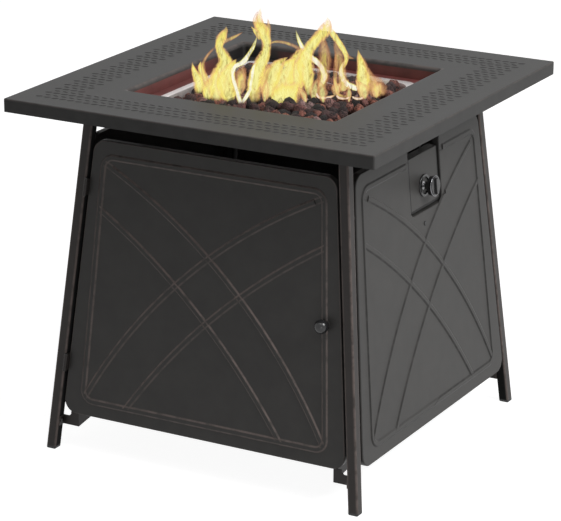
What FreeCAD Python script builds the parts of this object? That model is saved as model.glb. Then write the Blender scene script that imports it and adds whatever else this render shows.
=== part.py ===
import FreeCAD, Part

import math
import os
import random

Vec = FreeCAD.Vector
os.makedirs("parts", exist_ok=True)

# All sizes are millimetres. The origin is the middle of the footprint on the floor, +Z is up,
# the door faces -Y and the gas control faces +X.

# Table top: one folded sheet with a square fire opening
table_height = 648.0
top_side = 711.2
top_sheet = 1.6
rim_depth = 23.5
rim_return = 12.0
rim_corner = 3.0
top_edge = 2.0
fire_opening = 404.0
opening_corner = 6.0
opening_bend = 6.0
lip_drop = 8.0
lip_flat = 2.0

# Legs: square tubes that lean outward towards the floor, the same amount both ways
foot_span = 627.2
leg_lean = 0.0929
tube = 19.0
tube_wall = 1.5
tube_corner = 3.0
foot_cap_head = 5.0
foot_cap_stem = 15.0
foot_cap_chamfer = 1.5
foot_cap_play = 0.1
leg_plate = 56.0
leg_plate_sheet = 3.0
leg_plate_edge = 5.0

# Rails between the leg tops
rail_size = 15.0
rail_wall = 1.5
rail_drop = 52.0
rail_setback = 2.0

# Side panels and door: pressed trays with raised beads
panel_drop = 79.0
panel_bottom = 72.0
panel_gap = 5.0
panel_corner = 24.0
panel_sheet = 1.2
panel_bend = 0.8
panel_hem = 12.0
door_recess = 5.0
bead_width = 12.0
bead_crown = 6.0
bead_height = 1.8
bead_corner = 20.0
bead_drop = 28.0
bead_rise = 28.0
bead_inset_top = 24.0
bead_inset_low = 38.0
outer_rib_bow = 45.0
outer_rib_top_in = 18.0
outer_rib_top_drop = 19.0
outer_rib_low_in = 7.0
inner_rib_bow = 27.0
inner_rib_drop = 94.0
inner_rib_low_in = 89.0
rib_seat = 12.0

# Side panel fixings
fixing_rise = 78.0
fixing_drop = 69.0
fixing_depth = 7.0
spacer_radius = 4.5
screw_radius = 2.5
screw_head_radius = 4.2
screw_head = 2.6
screw_play = 0.25
screw_reach = 5.0

# Control recess in the right panel, with its plate
notch_centre = 15.0
notch_width = 120.0
notch_depth = 122.0
notch_corner = 10.0
notch_flare = 12.0
plate_gap = 3.0
plate_drop = 21.0
plate_recess = 3.0
plate_corner = 8.0
plate_hem = 16.0
plate_sheet = 1.2
hanger_width = 60.0
hanger_sheet = 1.5
hanger_window = 42.0
window_play = 5.0
hanger_foot = 22.0
hanger_lap = 8.0
lower_screw_across = 4.0
lower_screw_drop = 22.0

# Gas valve and control knob
knob_drop = 58.0
knob_radius = 17.0
knob_head = 10.0
knob_grip = 3.5
knob_grip_width = 8.0
knob_grip_inset = 3.0
knob_face = 24.0
knob_ring_radius = 18.5
knob_ring = 2.5
neck_radius = 7.0
knob_travel = 4.0
neck_clearance = 1.0
bezel_inner = 15.5
bezel_outer = 20.0
bezel = 2.5
stem_radius = 4.0
stem_tip = 17.0
stem_depth = 15.0
plunger = 6.0
running_fit = 0.05
valve_side = 30.0
valve_depth = 44.0
port_inset = 11.0
valve_corner = 3.0
pipe_boss = 3.0
pipe_boss_height = 5.0
valve_screw_spacing = 22.0
valve_screw_radius = 2.0
valve_screw_head = 1.4
inlet_thread_radius = 7.94
inlet_thread = 14.0
inlet_bore = 3.0
inlet_hex = 8.5
inlet_hex_height = 6.0
inlet_flare = 4.0

# Gas pipe, injector and air mixer
pipe_radius = 4.0
pipe_wall = 1.0
pipe_bend = 18.0
pipe_swing = 60.0
injector_hex = 6.0
injector_body = 10.0
injector_nose = 8.0
injector_hole = 0.8
mixer_radius = 8.0
mixer_bore = 6.0
mixer_length = 62.0
mixer_cup_radius = 13.0
mixer_cap = 2.0
mixer_floor = 2.0
air_hole = 3.0
air_hole_inset = 16.0
socket_depth = 4.0

# Fire well, pan and burner
well_sheet = 1.2
well_depth = 26.0
well_flange = 24.0
well_ledge = 28.0
pan_flange_half = 181.0
pan_top_half = 167.0
pan_floor_half = 155.0
pan_sheet = 1.0
pan_corner = 40.0
pan_drop = 82.0
drain_radius = 4.0
drain_place = 125.0
burner_radius = 110.0
burner_tube = 8.0
burner_wall = 1.2
burner_rise = 18.0
spoke_radius = 6.0
spoke_wall = 1.2
hub_radius = 14.0
hub_cap = 4.0
stub_radius = 10.0
stub_wall = 2.0
stub_drop = 13.0
locknut_radius = 16.0
locknut = 6.0
port_radius = 1.5
port_count = 24
sensor_place = 140.0
electrode_aside = 20.0
thermocouple_aside = -5.0
sensor_drop = 6.0
sensor_margin = 10.0
electrode_radius = 3.5
electrode_tip = 1.0
electrode_drop = 46.0
electrode_bare = 10.0
thermocouple_radius = 3.0
thermocouple_drop = 50.0
sensor_collar = 1.5
lead_radius = 1.0
lead_drop = 17.0
lead_run = 60.0
lead_entry = 8.0

# Lava rocks
rock_pitch = 40.0
rock_gap = 0.4
rock_jitter = 7.0
heap_drop = 10.0
heap_fall = 7.0
upper_rocks_drop = 33.0
lower_rocks_rise = 12.0
rock_margin = 1.5

# Flames. Each tongue has a foot (across, back), a tip (across, back, height over the table),
# a width and a sway, and each stage a share of the way up and a share of the width
flame_lift = 0.3
flame_stages = ((0.0, 0.7), (0.25, 1.0), (0.6, 0.62), (1.0, 0.06))
flame_lean = Vec(0.87, 0.49, 0)
flame_tongues = (
    ((-64.0, -38.0), (-40.0, -22.0, 136.0), 56.0, 10.0),
    ((-104.0, -58.0), (-96.0, -54.0, 90.0), 50.0, -8.0),
    ((-136.0, -74.0), (-141.0, -78.0, 38.0), 40.0, 4.0),
    ((-16.0, -14.0), (14.0, 8.0, 64.0), 64.0, 6.0),
    ((38.0, 20.0), (60.0, 34.0, 110.0), 60.0, -9.0),
    ((84.0, 46.0), (114.0, 64.0, 58.0), 52.0, 8.0),
    ((118.0, 66.0), (138.0, 80.0, 20.0), 40.0, 3.0),
    ((-44.0, 18.0), (-52.0, 40.0, 54.0), 50.0, 6.0),
    ((34.0, -26.0), (44.0, -44.0, 46.0), 48.0, -5.0))

# Door hinges, knob and catch
hinge_length = 30.0
hinge_rise = 93.0
hinge_drop = 84.0
knuckle_radius = 3.5
knuckle_forward = 2.8
knuckle_play = 0.25
hinge_pin_radius = 1.75
hinge_pin_head = 1.2
hinge_pin_head_radius = 2.8
leaf_sheet = 1.2
leaf_reach = 17.0
rivet_radius = 1.8
rivet_head_radius = 3.0
rivet_head = 0.9
rivet_back = 14.0
door_knob_across = 229.0
door_knob_height = 317.0
door_knob_radius = 12.25
door_knob_neck = 5.5
door_knob_waist = 3.0
door_knob_length = 23.0
door_screw_radius = 2.0
door_screw_depth = 12.0
catch_height = 40.0
catch_depth = 9.0
catch_play = 0.3
catch_aside = 1.5
strike_width = 15.0
strike_sheet = 1.2

# Bottom shelf, brackets and the screw that holds the gas cylinder
shelf_height = 76.0
shelf_reach = 270.0
shelf_chamfer = 30.0
shelf_sheet = 1.5
shelf_flange = 15.0
collar_radius = 106.0
collar_height = 22.0
bracket_sheet = 2.0
bracket_low = 44.4
bracket_high = 61.5
bracket_depth = 16.2
bracket_inset = 258.0
bracket_arm = 93.0
bracket_arm_rise = 14.0
bracket_shoulder = 14.0
bracket_tab = 22.0
bracket_tab_sheet = 1.5
bracket_play = 2.0
tank_screw_radius = 4.0
tank_screw_travel = 15.0
tank_screw_boss = 8.0
tank_screw_boss_length = 10.0
tank_screw_lift = 2.5
tank_screw_head = 10.0
tank_screw_head_radius = 11.0
tank_screw_spare = 8.0
flute_radius = 3.0

# Top fasteners
stud_radius = 3.0
stud_length = 14.0
stud_step = 26.0
well_stud_radius = 2.0
well_stud_length = 12.5
well_stud_place = 120.0
nut_height = 5.0
well_nut_height = 3.2
nut_ratio = 1.75
hole_play = 0.3

# Values that follow from those above
top_under = table_height - top_sheet
top_half = top_side / 2
rim_low = table_height - rim_depth
lip_low = table_height - lip_drop
rail_bottom = table_height - rail_drop
panel_top = table_height - panel_drop
fixing_heights = (panel_bottom + fixing_rise, panel_top - fixing_drop)
hinge_centres = (panel_bottom + hinge_rise, panel_top - hinge_drop)
notch_bottom = panel_top - notch_depth
lower_screw_height = notch_bottom - lower_screw_drop
plate_top = panel_top - plate_drop
knob_height = plate_top - knob_drop
slope_length = math.hypot(1, leg_lean)
lean_angle = math.degrees(math.atan(leg_lean))
well_half = fire_opening / 2
ledge_top = table_height - well_depth
pan_floor = table_height - pan_drop
pan_inside = pan_floor + pan_sheet
electrode_height = table_height - electrode_drop
thermocouple_height = table_height - thermocouple_drop
heap_top = table_height - heap_drop
upper_rocks = table_height - upper_rocks_drop
lower_rocks = pan_floor + lower_rocks_rise
burner_height = pan_inside + burner_rise
plate_half = notch_width / 2 - plate_gap
plate_bottom = notch_bottom + plate_gap
plate_face = -plate_recess / slope_length
valve_front = plate_face - plate_sheet
neck_foot = plate_face + knob_travel + neck_clearance
valve_back = valve_front - valve_depth
port_depth = valve_back + port_inset
mixer_axis = pan_floor - stub_drop - mixer_bore - mixer_floor / 2
tank_screw_height = shelf_height + shelf_sheet + tank_screw_head_radius + tank_screw_lift
fixing_gap = panel_gap / slope_length


def leg_half(z):
    """Distance from the middle to the outer face of the legs at height z."""
    return foot_span / 2 - leg_lean * z


def panel_half(z):
    """Half the width of a panel or the door at height z."""
    return leg_half(z) - tube - panel_gap


def turned(shape, turns):
    """Copy of a shape, turned by quarter turns about the middle of the table."""
    copy = shape.copy()
    copy.rotate(Vec(0, 0, 0), Vec(0, 0, 1), 90 * turns)
    return copy


def on_side(shape, recess, turns):
    """Stand a shape drawn flat (across, up the slope, outward) against one side."""
    stood = shape.copy()
    stood.rotate(Vec(0, 0, 0), Vec(1, 0, 0), 90 - lean_angle)
    stood.translate(Vec(0, recess - foot_span / 2, 0))
    return turned(stood, turns)


def side_point(across, height, outward, recess, turns):
    """World point of a place on one side, height measured up from the floor."""
    return on_side(Part.Vertex(across, height * slope_length, outward), recess, turns).Point


def box(x_range, y_range, z_range):
    size = [high - low for low, high in (x_range, y_range, z_range)]
    return Part.makeBox(*size, Vec(x_range[0], y_range[0], z_range[0]))


def square_prism(half, corner, z_low, z_high):
    """Upright square block about the middle, its four corners rounded."""
    corners = [(-half, -half), (half, -half), (half, half), (-half, half)]
    face = Part.Face(rounded_wire(corners, [corner] * 4))
    face.translate(Vec(0, 0, z_low))
    return face.extrude(Vec(0, 0, z_high - z_low))


def rounded_wire(corners, radii):
    """Closed flat wire whose corners are rounded, each by its own radius."""
    points = [Vec(x, y, 0) for x, y in corners]
    arcs = []
    for index, here in enumerate(points):
        to_last = (points[index - 1] - here).normalize()
        to_next = (points[(index + 1) % len(points)] - here).normalize()
        half = to_last.getAngle(to_next) / 2
        run = radii[index] / math.tan(half)
        centre = here + (to_last + to_next).normalize() * (radii[index] / math.sin(half))
        middle = centre + (here - centre).normalize() * radii[index]
        arcs.append((here + to_last * run, middle, here + to_next * run))
    edges = []
    for index, (start, middle, end) in enumerate(arcs):
        edges.append(Part.Arc(start, middle, end).toShape())
        edges.append(Part.LineSegment(end, arcs[(index + 1) % len(arcs)][0]).toShape())
    return Part.Wire(edges)


def polygon(points):
    """Flat face through the given points."""
    return Part.Face(Part.makePolygon(list(points) + [points[0]]))


def hexagon(across_corners, start, axis, length):
    """Hexagonal block from a start point along an axis."""
    ring = [Vec(math.cos(k * math.pi / 3), math.sin(k * math.pi / 3), 0) * across_corners for k in range(6)]
    nut = polygon(ring).extrude(Vec(0, 0, length))
    nut.Placement = FreeCAD.Placement(start, FreeCAD.Rotation(Vec(0, 0, 1), axis))
    return nut


def rod(start, end, radius):
    return Part.makeCylinder(radius, (end - start).Length, start, end - start)


def joined(shapes):
    """One solid from shapes that touch or overlap."""
    return shapes[0].fuse(shapes[1:]).removeSplitter()


def path_wire(points, radius):
    """Straight runs through the points, joined by arcs of one radius."""
    edges = []
    last = points[0]
    for before, here, after in zip(points, points[1:], points[2:]):
        back = (before - here).normalize()
        ahead = (after - here).normalize()
        half = back.getAngle(ahead) / 2
        run = radius / math.tan(half)
        centre = here + (back + ahead).normalize() * (radius / math.sin(half))
        middle = centre + (here - centre).normalize() * radius
        edges.append(Part.LineSegment(last, here + back * run).toShape())
        edges.append(Part.Arc(here + back * run, middle, here + ahead * run).toShape())
        last = here + ahead * run
    edges.append(Part.LineSegment(last, points[-1]).toShape())
    return Part.Wire(edges)


def swept(points, bend, radius):
    """Round bar along a path."""
    ring = Part.Wire(Part.makeCircle(radius, points[0], points[1] - points[0]))
    return path_wire(points, bend).makePipeShell([ring], True, False)


def save(name, *solids):
    shape = solids[0] if len(solids) == 1 else Part.makeCompound(list(solids))
    shape.exportStep("parts/" + name + ".step")


# Table top ------------------------------------------------------------------------------

def top_stud_places():
    """Middle of each stud that holds a leg plate, for the front right leg."""
    centre = leg_half(top_under) - tube / 2
    return [Vec(centre + stud_step, -centre, 0), Vec(centre, -centre - stud_step, 0)]


def well_stud_places():
    """Middle of the two studs that hold the fire well along one side."""
    across = well_half + well_flange / 2 + well_sheet / 2
    return [Vec(well_stud_place, -across, 0), Vec(-well_stud_place, -across, 0)]


def stud(place, radius, length):
    return Part.makeCylinder(radius, length, place + Vec(0, 0, top_under - length))


def table_top():
    outer = square_prism(top_half, rim_corner, rim_low, table_height)
    upper = [e for e in outer.Edges if e.BoundBox.ZMin > table_height - 0.01]
    outer = outer.makeFillet(top_edge, upper)
    room = square_prism(top_half - top_sheet, rim_corner - top_sheet, rim_low + top_sheet, top_under)
    mouth = square_prism(top_half - rim_return, rim_corner, rim_low, rim_low + top_sheet)
    reach = well_half + opening_bend + lip_flat
    opening = square_prism(reach, opening_corner + reach - well_half, top_under, table_height)
    sheet = outer.cut([room, mouth, opening])
    studs = []
    for turns in range(4):
        for place in top_stud_places():
            studs.append(turned(stud(place, stud_radius, stud_length), turns))
        for place in well_stud_places():
            studs.append(turned(stud(place, well_stud_radius, well_stud_length), turns))
    return joined([sheet, opening_lip(reach)] + studs)


def rolled_ring(inner_half, outer_half, corner, z_high, bend):
    """Square ring round the opening, its inner top edge rolled over."""
    inside = square_prism(inner_half, corner, lip_low, z_high)
    outside = square_prism(outer_half, corner + outer_half - inner_half, lip_low, z_high)
    marks = [e.CenterOfMass for e in inside.Edges if e.BoundBox.ZMin > z_high - 0.01]
    ring = outside.cut(inside)
    rolled = [e for e in ring.Edges if min((e.CenterOfMass - mark).Length for mark in marks) < 0.01]
    return ring.makeFillet(bend, rolled)


def opening_lip(reach):
    """The sheet bent down round the opening."""
    skin = rolled_ring(well_half, reach, opening_corner, table_height, opening_bend)
    behind = rolled_ring(well_half + top_sheet, reach + lip_flat, opening_corner + top_sheet, top_under,
                         opening_bend - top_sheet)
    return skin.cut(behind)


def nut(place, z_low, height, bolt):
    ring = hexagon(bolt * nut_ratio + 0.5, place + Vec(0, 0, z_low), Vec(0, 0, 1), height)
    return ring.cut(Part.makeCylinder(bolt, height, place + Vec(0, 0, z_low)))


def top_nuts():
    low = top_under - leg_plate_sheet - nut_height
    return [turned(nut(place, low, nut_height, stud_radius), turns)
            for turns in range(4) for place in top_stud_places()]


def well_nuts():
    low = lip_low - well_sheet - well_nut_height
    return [turned(nut(place, low, well_nut_height, well_stud_radius), turns)
            for turns in range(4) for place in well_stud_places()]


# Legs and rails -------------------------------------------------------------------------

def leg_prism(wire, z_low, z_high):
    """Block that leans with the front right leg, from a wire drawn at z_low."""
    face = Part.Face(wire)
    face.translate(Vec(0, 0, z_low))
    rise = z_high - z_low
    return face.extrude(Vec(-leg_lean * rise, leg_lean * rise, rise))


def leg_section(inset, corner, z):
    """Plan outline of the front right leg at height z, drawn inset from its faces."""
    far = leg_half(z) - inset
    near = leg_half(z) - tube + inset
    corners = [(near, -far), (far, -far), (far, -near), (near, -near)]
    return rounded_wire(corners, [corner] * 4)


def leg_strip(away_x, away_y, z_low, z_high):
    """Block that leans with the front right leg, at given distances from its outer faces."""
    reach = leg_half(z_low)
    near_x, far_x = [reach - away for away in away_x]
    near_y, far_y = [away - reach for away in away_y]
    points = [Vec(near_x, near_y, 0), Vec(far_x, near_y, 0), Vec(far_x, far_y, 0), Vec(near_x, far_y, 0)]
    return leg_prism(Part.makePolygon(points + [points[0]]), z_low, z_high)


def leg():
    plate_low = top_under - leg_plate_sheet
    outer = leg_prism(leg_section(0, tube_corner, foot_cap_head), foot_cap_head, plate_low)
    bore_corner = tube_corner - tube_wall
    bore = leg_prism(leg_section(tube_wall, bore_corner, foot_cap_head), foot_cap_head, plate_low)
    near = leg_half(plate_low) - tube - leg_plate_edge
    plate = box((near, near + leg_plate), (-near - leg_plate, -near), (plate_low, top_under))
    holes = [Part.makeCylinder(stud_radius + hole_play, leg_plate_sheet, place + Vec(0, 0, plate_low))
             for place in top_stud_places()]
    return joined([outer.cut(bore), plate.cut(holes)])


def foot_cap():
    head = leg_prism(leg_section(0, tube_corner, 0), 0, foot_cap_head)
    sole = [e for e in head.Edges if e.BoundBox.ZMax < 0.01]
    head = head.makeChamfer(foot_cap_chamfer, sole)
    inset = tube_wall + foot_cap_play
    section = leg_section(inset, tube_corner - tube_wall, foot_cap_head)
    stem = leg_prism(section, foot_cap_head, foot_cap_head + foot_cap_stem)
    return joined([head, stem])


def rail():
    """Front rail between the legs, its ends cut to the lean of the legs."""
    rail_top = rail_bottom + rail_size
    face_y = rail_setback - leg_half(rail_bottom + rail_size / 2)
    low = leg_half(rail_bottom) - tube
    high = leg_half(rail_top) - tube
    outer = polygon([Vec(-low, face_y, rail_bottom), Vec(low, face_y, rail_bottom),
                     Vec(high, face_y, rail_top), Vec(-high, face_y, rail_top)])
    inner = box((-low, low), (face_y + rail_wall, face_y + rail_size - rail_wall),
                (rail_bottom + rail_wall, rail_top - rail_wall))
    return outer.extrude(Vec(0, rail_size, 0)).cut(inner)


# Panels ---------------------------------------------------------------------------------

def panel_outline(notched):
    low = (panel_half(panel_bottom), panel_bottom * slope_length)
    high = (panel_half(panel_top), panel_top * slope_length)
    corners = [(-low[0], low[1]), low, high]
    radii = [panel_corner] * 3
    if notched:
        left = notch_centre - notch_width / 2
        right = notch_centre + notch_width / 2
        floor = notch_bottom * slope_length
        corners += [(right, high[1]), (right, floor), (left, floor), (left, high[1])]
        radii += [notch_flare, notch_corner, notch_corner, notch_flare]
    corners.append((-high[0], high[1]))
    radii.append(panel_corner)
    return rounded_wire(corners, radii)


def tray(outline, sheet, bend, hem, recess):
    """Pressed tray on the front side: a flat face with its edges folded straight inward."""
    outer_face = on_side(Part.Face(outline), recess, 0)
    inner_face = on_side(Part.Face(outline).makeOffset2D(-sheet), recess, 0)
    outer = outer_face.extrude(Vec(0, hem, 0))
    outer = outer.makeFillet(bend + sheet, front_edges(outer, 0, recess))
    inset = sheet * slope_length
    inner_face.translate(Vec(0, inset, 0))
    inner = inner_face.extrude(Vec(0, hem - inset, 0))
    inner = inner.makeFillet(bend, front_edges(inner, inset, recess))
    return outer.cut(inner)


def front_edges(solid, inset, recess):
    """Edges of a block on the front side that lie in its sloping front plane."""
    chosen = []
    for edge in solid.Edges:
        ends = [vertex.Point for vertex in edge.Vertexes]
        gaps = [abs(point.y - (recess + inset - leg_half(point.z))) for point in ends]
        if max(gaps) < 0.01:
            chosen.append(edge)
    return chosen


def bead_profile(place, across):
    """Section of a raised bead: a flat crown with sloping sides, seated in the sheet."""
    sunk = Vec(0, 0, -panel_sheet / 2)
    wide = across * (bead_width / 2)
    narrow = across * (bead_crown / 2)
    crown = Vec(0, 0, bead_height)
    return polygon([place - wide + sunk, place - wide, place - narrow + crown,
                    place + narrow + crown, place + wide, place + wide + sunk])


def straight_bead(start, end):
    along = end - start
    across = Vec(-along.y, along.x, 0).normalize()
    return bead_profile(start, across).extrude(along)


def curved_bead(start, middle, end):
    circle = Part.Arc(start, middle, end).toShape().Curve
    centre = circle.Center
    across = (start - centre).normalize()
    turn = (start - centre).cross(end - centre).z
    angle = math.degrees((start - centre).getAngle(end - centre))
    return bead_profile(start, across).revolve(centre, Vec(0, 0, math.copysign(1, turn)), angle)


def frame_bead_corners():
    """Corners of the bead that runs round a panel, flat, from the lower left."""
    low = panel_bottom + bead_rise
    high = panel_top - bead_drop
    low_half = panel_half(low) - bead_inset_low
    high_half = panel_half(high) - bead_inset_top
    return [Vec(-low_half, low * slope_length, 0), Vec(low_half, low * slope_length, 0),
            Vec(high_half, high * slope_length, 0), Vec(-high_half, high * slope_length, 0)]


def frame_bead():
    wire = rounded_wire([(p.x, p.y) for p in frame_bead_corners()], [bead_corner] * 4)
    pieces = []
    for edge in wire.Edges:
        ends = [edge.valueAt(edge.FirstParameter), edge.valueAt(edge.LastParameter)]
        middle = edge.valueAt((edge.FirstParameter + edge.LastParameter) / 2)
        straight = isinstance(edge.Curve, Part.Line)
        pieces.append(straight_bead(*ends) if straight else curved_bead(ends[0], middle, ends[1]))
    return pieces


def bowed_rib(start, end, bow):
    chord = end - start
    middle = (start + end) / 2 + Vec(-chord.y, chord.x, 0).normalize() * bow
    return curved_bead(start, middle, end)


def ribs():
    """Two bowed ribs from the upper left to the lower right, and their mirror images."""
    low_left, low_right, _, high_left = frame_bead_corners()
    side = (low_left - high_left).normalize()
    outer_start = high_left + side * outer_rib_top_drop + Vec(outer_rib_top_in, 0, 0)
    outer_end = low_right + Vec(-outer_rib_low_in, rib_seat, 0)
    inner_start = high_left + side * inner_rib_drop
    inner_end = low_right - Vec(inner_rib_low_in, 0, 0)
    pair = [bowed_rib(outer_start, outer_end, outer_rib_bow),
            bowed_rib(inner_start, inner_end, inner_rib_bow)]
    return pair + [rib.mirror(Vec(0, 0, 0), Vec(1, 0, 0)) for rib in pair]


def beads(notched):
    pieces = frame_bead() + ribs()
    if notched:
        left = notch_centre - notch_width / 2 - notch_flare
        right = notch_centre + notch_width / 2 + notch_flare
        floor = (notch_bottom + notch_corner) * slope_length
        clear = box((left, right), (floor, panel_top * slope_length), (-panel_hem, panel_hem))
        seat_middle = Vec(lower_screw_across, lower_screw_height * slope_length, 0)
        seat = Part.makeCylinder(screw_head_radius + screw_play, 2 * bead_height, seat_middle)
        pieces = [piece.cut([clear, seat]) for piece in pieces]
    return pieces


def panel(recess, notched, turns):
    skin = tray(panel_outline(notched), panel_sheet, panel_bend, panel_hem, recess)
    raised = [on_side(piece, recess, 0) for piece in beads(notched)]
    return turned(joined([skin] + raised), turns)


def fixing_start(height, side, turns):
    """Point on the hem of a fixed panel where a spacer sits, and the direction to the leg."""
    start = Vec(side * panel_half(height), fixing_depth - leg_half(height), height)
    out = Vec(side, 0, leg_lean).normalize()
    spin = FreeCAD.Rotation(Vec(0, 0, 1), 90 * turns)
    return spin.multVec(start), spin.multVec(out)


def panel_fixings():
    """Every place where a fixed panel is screwed to a leg."""
    return [fixing_start(height, side, turns)
            for turns in (1, 2, 3) for side in (-1, 1) for height in fixing_heights]


def hem_holes():
    return [Part.makeCylinder(screw_radius + screw_play, 2 * panel_hem, start - out * panel_hem, out)
            for start, out in panel_fixings()]


def leg_holes():
    places = panel_fixings() + bracket_fixings()
    radius = screw_radius + running_fit
    return [Part.makeCylinder(radius, 2 * panel_gap, start + out * (fixing_gap - tube_wall / 2), out)
            for start, out in places]


def panel_spacers():
    spacers = []
    for start, out in panel_fixings():
        ring = Part.makeCylinder(spacer_radius, fixing_gap, start, out)
        spacers.append(ring.cut(Part.makeCylinder(screw_radius + screw_play, fixing_gap, start, out)))
    return spacers


def button_screw(seat, out, reach, radius, head_radius, head):
    """Screw whose domed head sits behind the seat and whose shank points along out."""
    dome = Part.makeCylinder(head_radius, head, seat - out * head, out)
    rim = [e for e in dome.Edges if abs((e.CenterOfMass - (seat - out * head)).dot(out)) < 0.01]
    dome = dome.makeFillet(head * 0.6, [e for e in rim if e.Length > head_radius])
    return joined([dome, Part.makeCylinder(radius, reach, seat, out)])


def panel_screws():
    reach = panel_sheet + fixing_gap + tube_wall + screw_reach
    return [button_screw(start - out * panel_sheet, out, reach, screw_radius,
                         screw_head_radius, screw_head) for start, out in panel_fixings()]


# Control plate, hanger, valve and knob ---------------------------------------------------

def control_plate():
    left = notch_centre - plate_half
    right = notch_centre + plate_half
    low = plate_bottom * slope_length
    high = plate_top * slope_length
    square = 2.0
    outline = rounded_wire([(left, low), (right, low), (right, high), (left, high)],
                           [plate_corner, plate_corner, square, square])
    folded = turned(tray(outline, plate_sheet, panel_bend, plate_hem, plate_recess), 1)
    holes = [control_rod(neck_radius + 1, valve_front - 1, 0)]
    hole = valve_screw_radius + screw_play
    holes += [valve_screw_rod(hole, valve_front - 1, 0, side) for side in (-1, 1)]
    return folded.cut(holes)


def control_point(outward):
    return side_point(notch_centre, knob_height, outward, 0, 1)


def control_rod(radius, inner, outer):
    """Round bar on the axis of the control knob, between two distances from the panel face."""
    return rod(control_point(inner), control_point(outer), radius)


def valve_screw_rod(radius, inner, outer, side):
    across = notch_centre + side * valve_screw_spacing / 2
    start = side_point(across, knob_height, inner, 0, 1)
    return rod(start, side_point(across, knob_height, outer, 0, 1), radius)


def valve_screws():
    out = (control_point(1) - control_point(0)).normalize()
    screws = []
    for side in (-1, 1):
        seat = side_point(notch_centre + side * valve_screw_spacing / 2, knob_height, plate_face, 0, 1)
        screws.append(button_screw(seat, out * -1, panel_hem, valve_screw_radius,
                                   1.6 * valve_screw_radius, valve_screw_head))
    return screws


def flat_block(across, heights, outward):
    """Block on the right side, given as spans across, in height and outward."""
    low, high = [height * slope_length for height in heights]
    return on_side(box(across, (low, high), outward), 0, 1)


def control_hanger():
    left = notch_centre - hanger_width / 2
    right = notch_centre + hanger_width / 2
    plate_back = -(plate_recess + plate_hem) / slope_length
    hanger_low = lower_screw_height + hanger_foot / 2
    strip = flat_block((left, right), (hanger_low, rail_bottom), (plate_back - hanger_sheet, plate_back))
    rail_inner = leg_half(rail_bottom + rail_size / 2) - rail_setback - rail_size
    tab = box((rail_inner - hanger_sheet, rail_inner), (left, right),
              (rail_bottom - hanger_lap, rail_bottom + rail_size))
    foot_across = (lower_screw_across - hanger_foot / 2, lower_screw_across + hanger_foot / 2)
    shelf = flat_block(foot_across, (hanger_low, hanger_low + hanger_sheet),
                       (plate_back - hanger_sheet, -panel_sheet))
    foot = flat_block(foot_across, (hanger_low - hanger_foot, hanger_low + hanger_sheet),
                      (-panel_sheet - hanger_sheet, -panel_sheet))
    half = hanger_window / 2
    window_low = knob_height - valve_side / 2 - inlet_hex_height - inlet_thread - window_play
    window_high = mixer_axis + pipe_radius + window_play
    window = flat_block((notch_centre - half, notch_centre + half), (window_low, window_high),
                        (valve_back, plate_back))
    holes = [lower_screw_hole(), *rail_screw_holes()]
    return joined([strip, tab, shelf, foot]).cut([window] + holes)


def lower_screw_hole():
    return rod(side_point(lower_screw_across, lower_screw_height, -panel_hem, 0, 1),
               side_point(lower_screw_across, lower_screw_height, bead_height, 0, 1), screw_radius)


def rail_screw_seats():
    """Seats of the two screws that hold the hanger to the right rail, on the hanger's back."""
    inner = leg_half(rail_bottom + rail_size / 2) - rail_setback - rail_size - hanger_sheet
    middle = rail_bottom + rail_size / 2
    return [Vec(inner, notch_centre + side * hanger_width / 3, middle) for side in (-1, 1)]


def rail_screw_holes():
    return [Part.makeCylinder(screw_radius, rail_wall + 2 * hanger_sheet, seat - Vec(1, 0, 0), Vec(1, 0, 0))
            for seat in rail_screw_seats()]


def hanger_screws():
    screws = [button_screw(seat, Vec(1, 0, 0), rail_size / 2, screw_radius, screw_head_radius, screw_head)
              for seat in rail_screw_seats()]
    out = (control_point(0) - control_point(1)).normalize()
    seat = side_point(lower_screw_across, lower_screw_height, 0, 0, 1)
    screws.append(button_screw(seat, out, panel_hem / 2, screw_radius, screw_head_radius, screw_head / 2))
    return screws


def valve_block(depth_range):
    half = valve_side / 2
    return flat_block((notch_centre - half, notch_centre + half),
                      (knob_height - half / slope_length, knob_height + half / slope_length), depth_range)


def valve_port(up, outward):
    """Middle of the valve's upper or lower face, at a distance from the panel face."""
    return side_point(notch_centre, knob_height + up * valve_side / 2 / slope_length, outward, 0, 1)


def slope_up():
    return (side_point(0, 1, 0, 0, 1) - side_point(0, 0, 0, 0, 1)).normalize()


def pipe_port():
    return valve_port(1, port_depth)


def gas_valve():
    body = valve_block((valve_back, valve_front))
    outlet_top = pipe_port() + slope_up() * pipe_boss_height
    boss = rod(pipe_port(), outlet_top, pipe_radius + pipe_boss)
    stem_hole = control_rod(stem_radius + running_fit, valve_back + valve_corner, valve_front)
    outlet = rod(pipe_port() - slope_up() * socket_depth, outlet_top, pipe_radius)
    inlet = rod(valve_port(-1, port_depth), valve_port(-1, port_depth) + slope_up() * socket_depth,
                inlet_bore)
    screws = [valve_screw_rod(valve_screw_radius, valve_front - panel_hem, valve_front, side)
              for side in (-1, 1)]
    corners = [e for e in body.Edges if abs(e.Length - valve_depth) < 0.01]
    body = body.makeFillet(valve_corner, corners)
    return joined([body, boss]).cut([stem_hole, outlet, inlet] + screws)


def gas_inlet():
    """Flare fitting that the gas hose screws on to, pointing down from the valve."""
    top = valve_port(-1, port_depth)
    down = slope_up() * -1
    nut_end = top + down * inlet_hex_height
    thread_end = nut_end + down * inlet_thread
    flare = Part.makeCone(inlet_thread_radius - 1, inlet_bore + 1.2, inlet_flare, thread_end, down)
    fitting = joined([hexagon(inlet_hex * 1.15, top, down, inlet_hex_height),
                      rod(nut_end, thread_end, inlet_thread_radius), flare])
    return fitting.cut(rod(top, thread_end + down * inlet_flare, inlet_bore))


def valve_stem():
    return control_rod(stem_radius, valve_front - stem_depth, stem_tip)


def valve_plunger():
    """Safety plunger behind the stem: it is pushed in with the knob but does not turn."""
    return control_rod(stem_radius, valve_front - stem_depth - plunger, valve_front - stem_depth)


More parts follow.
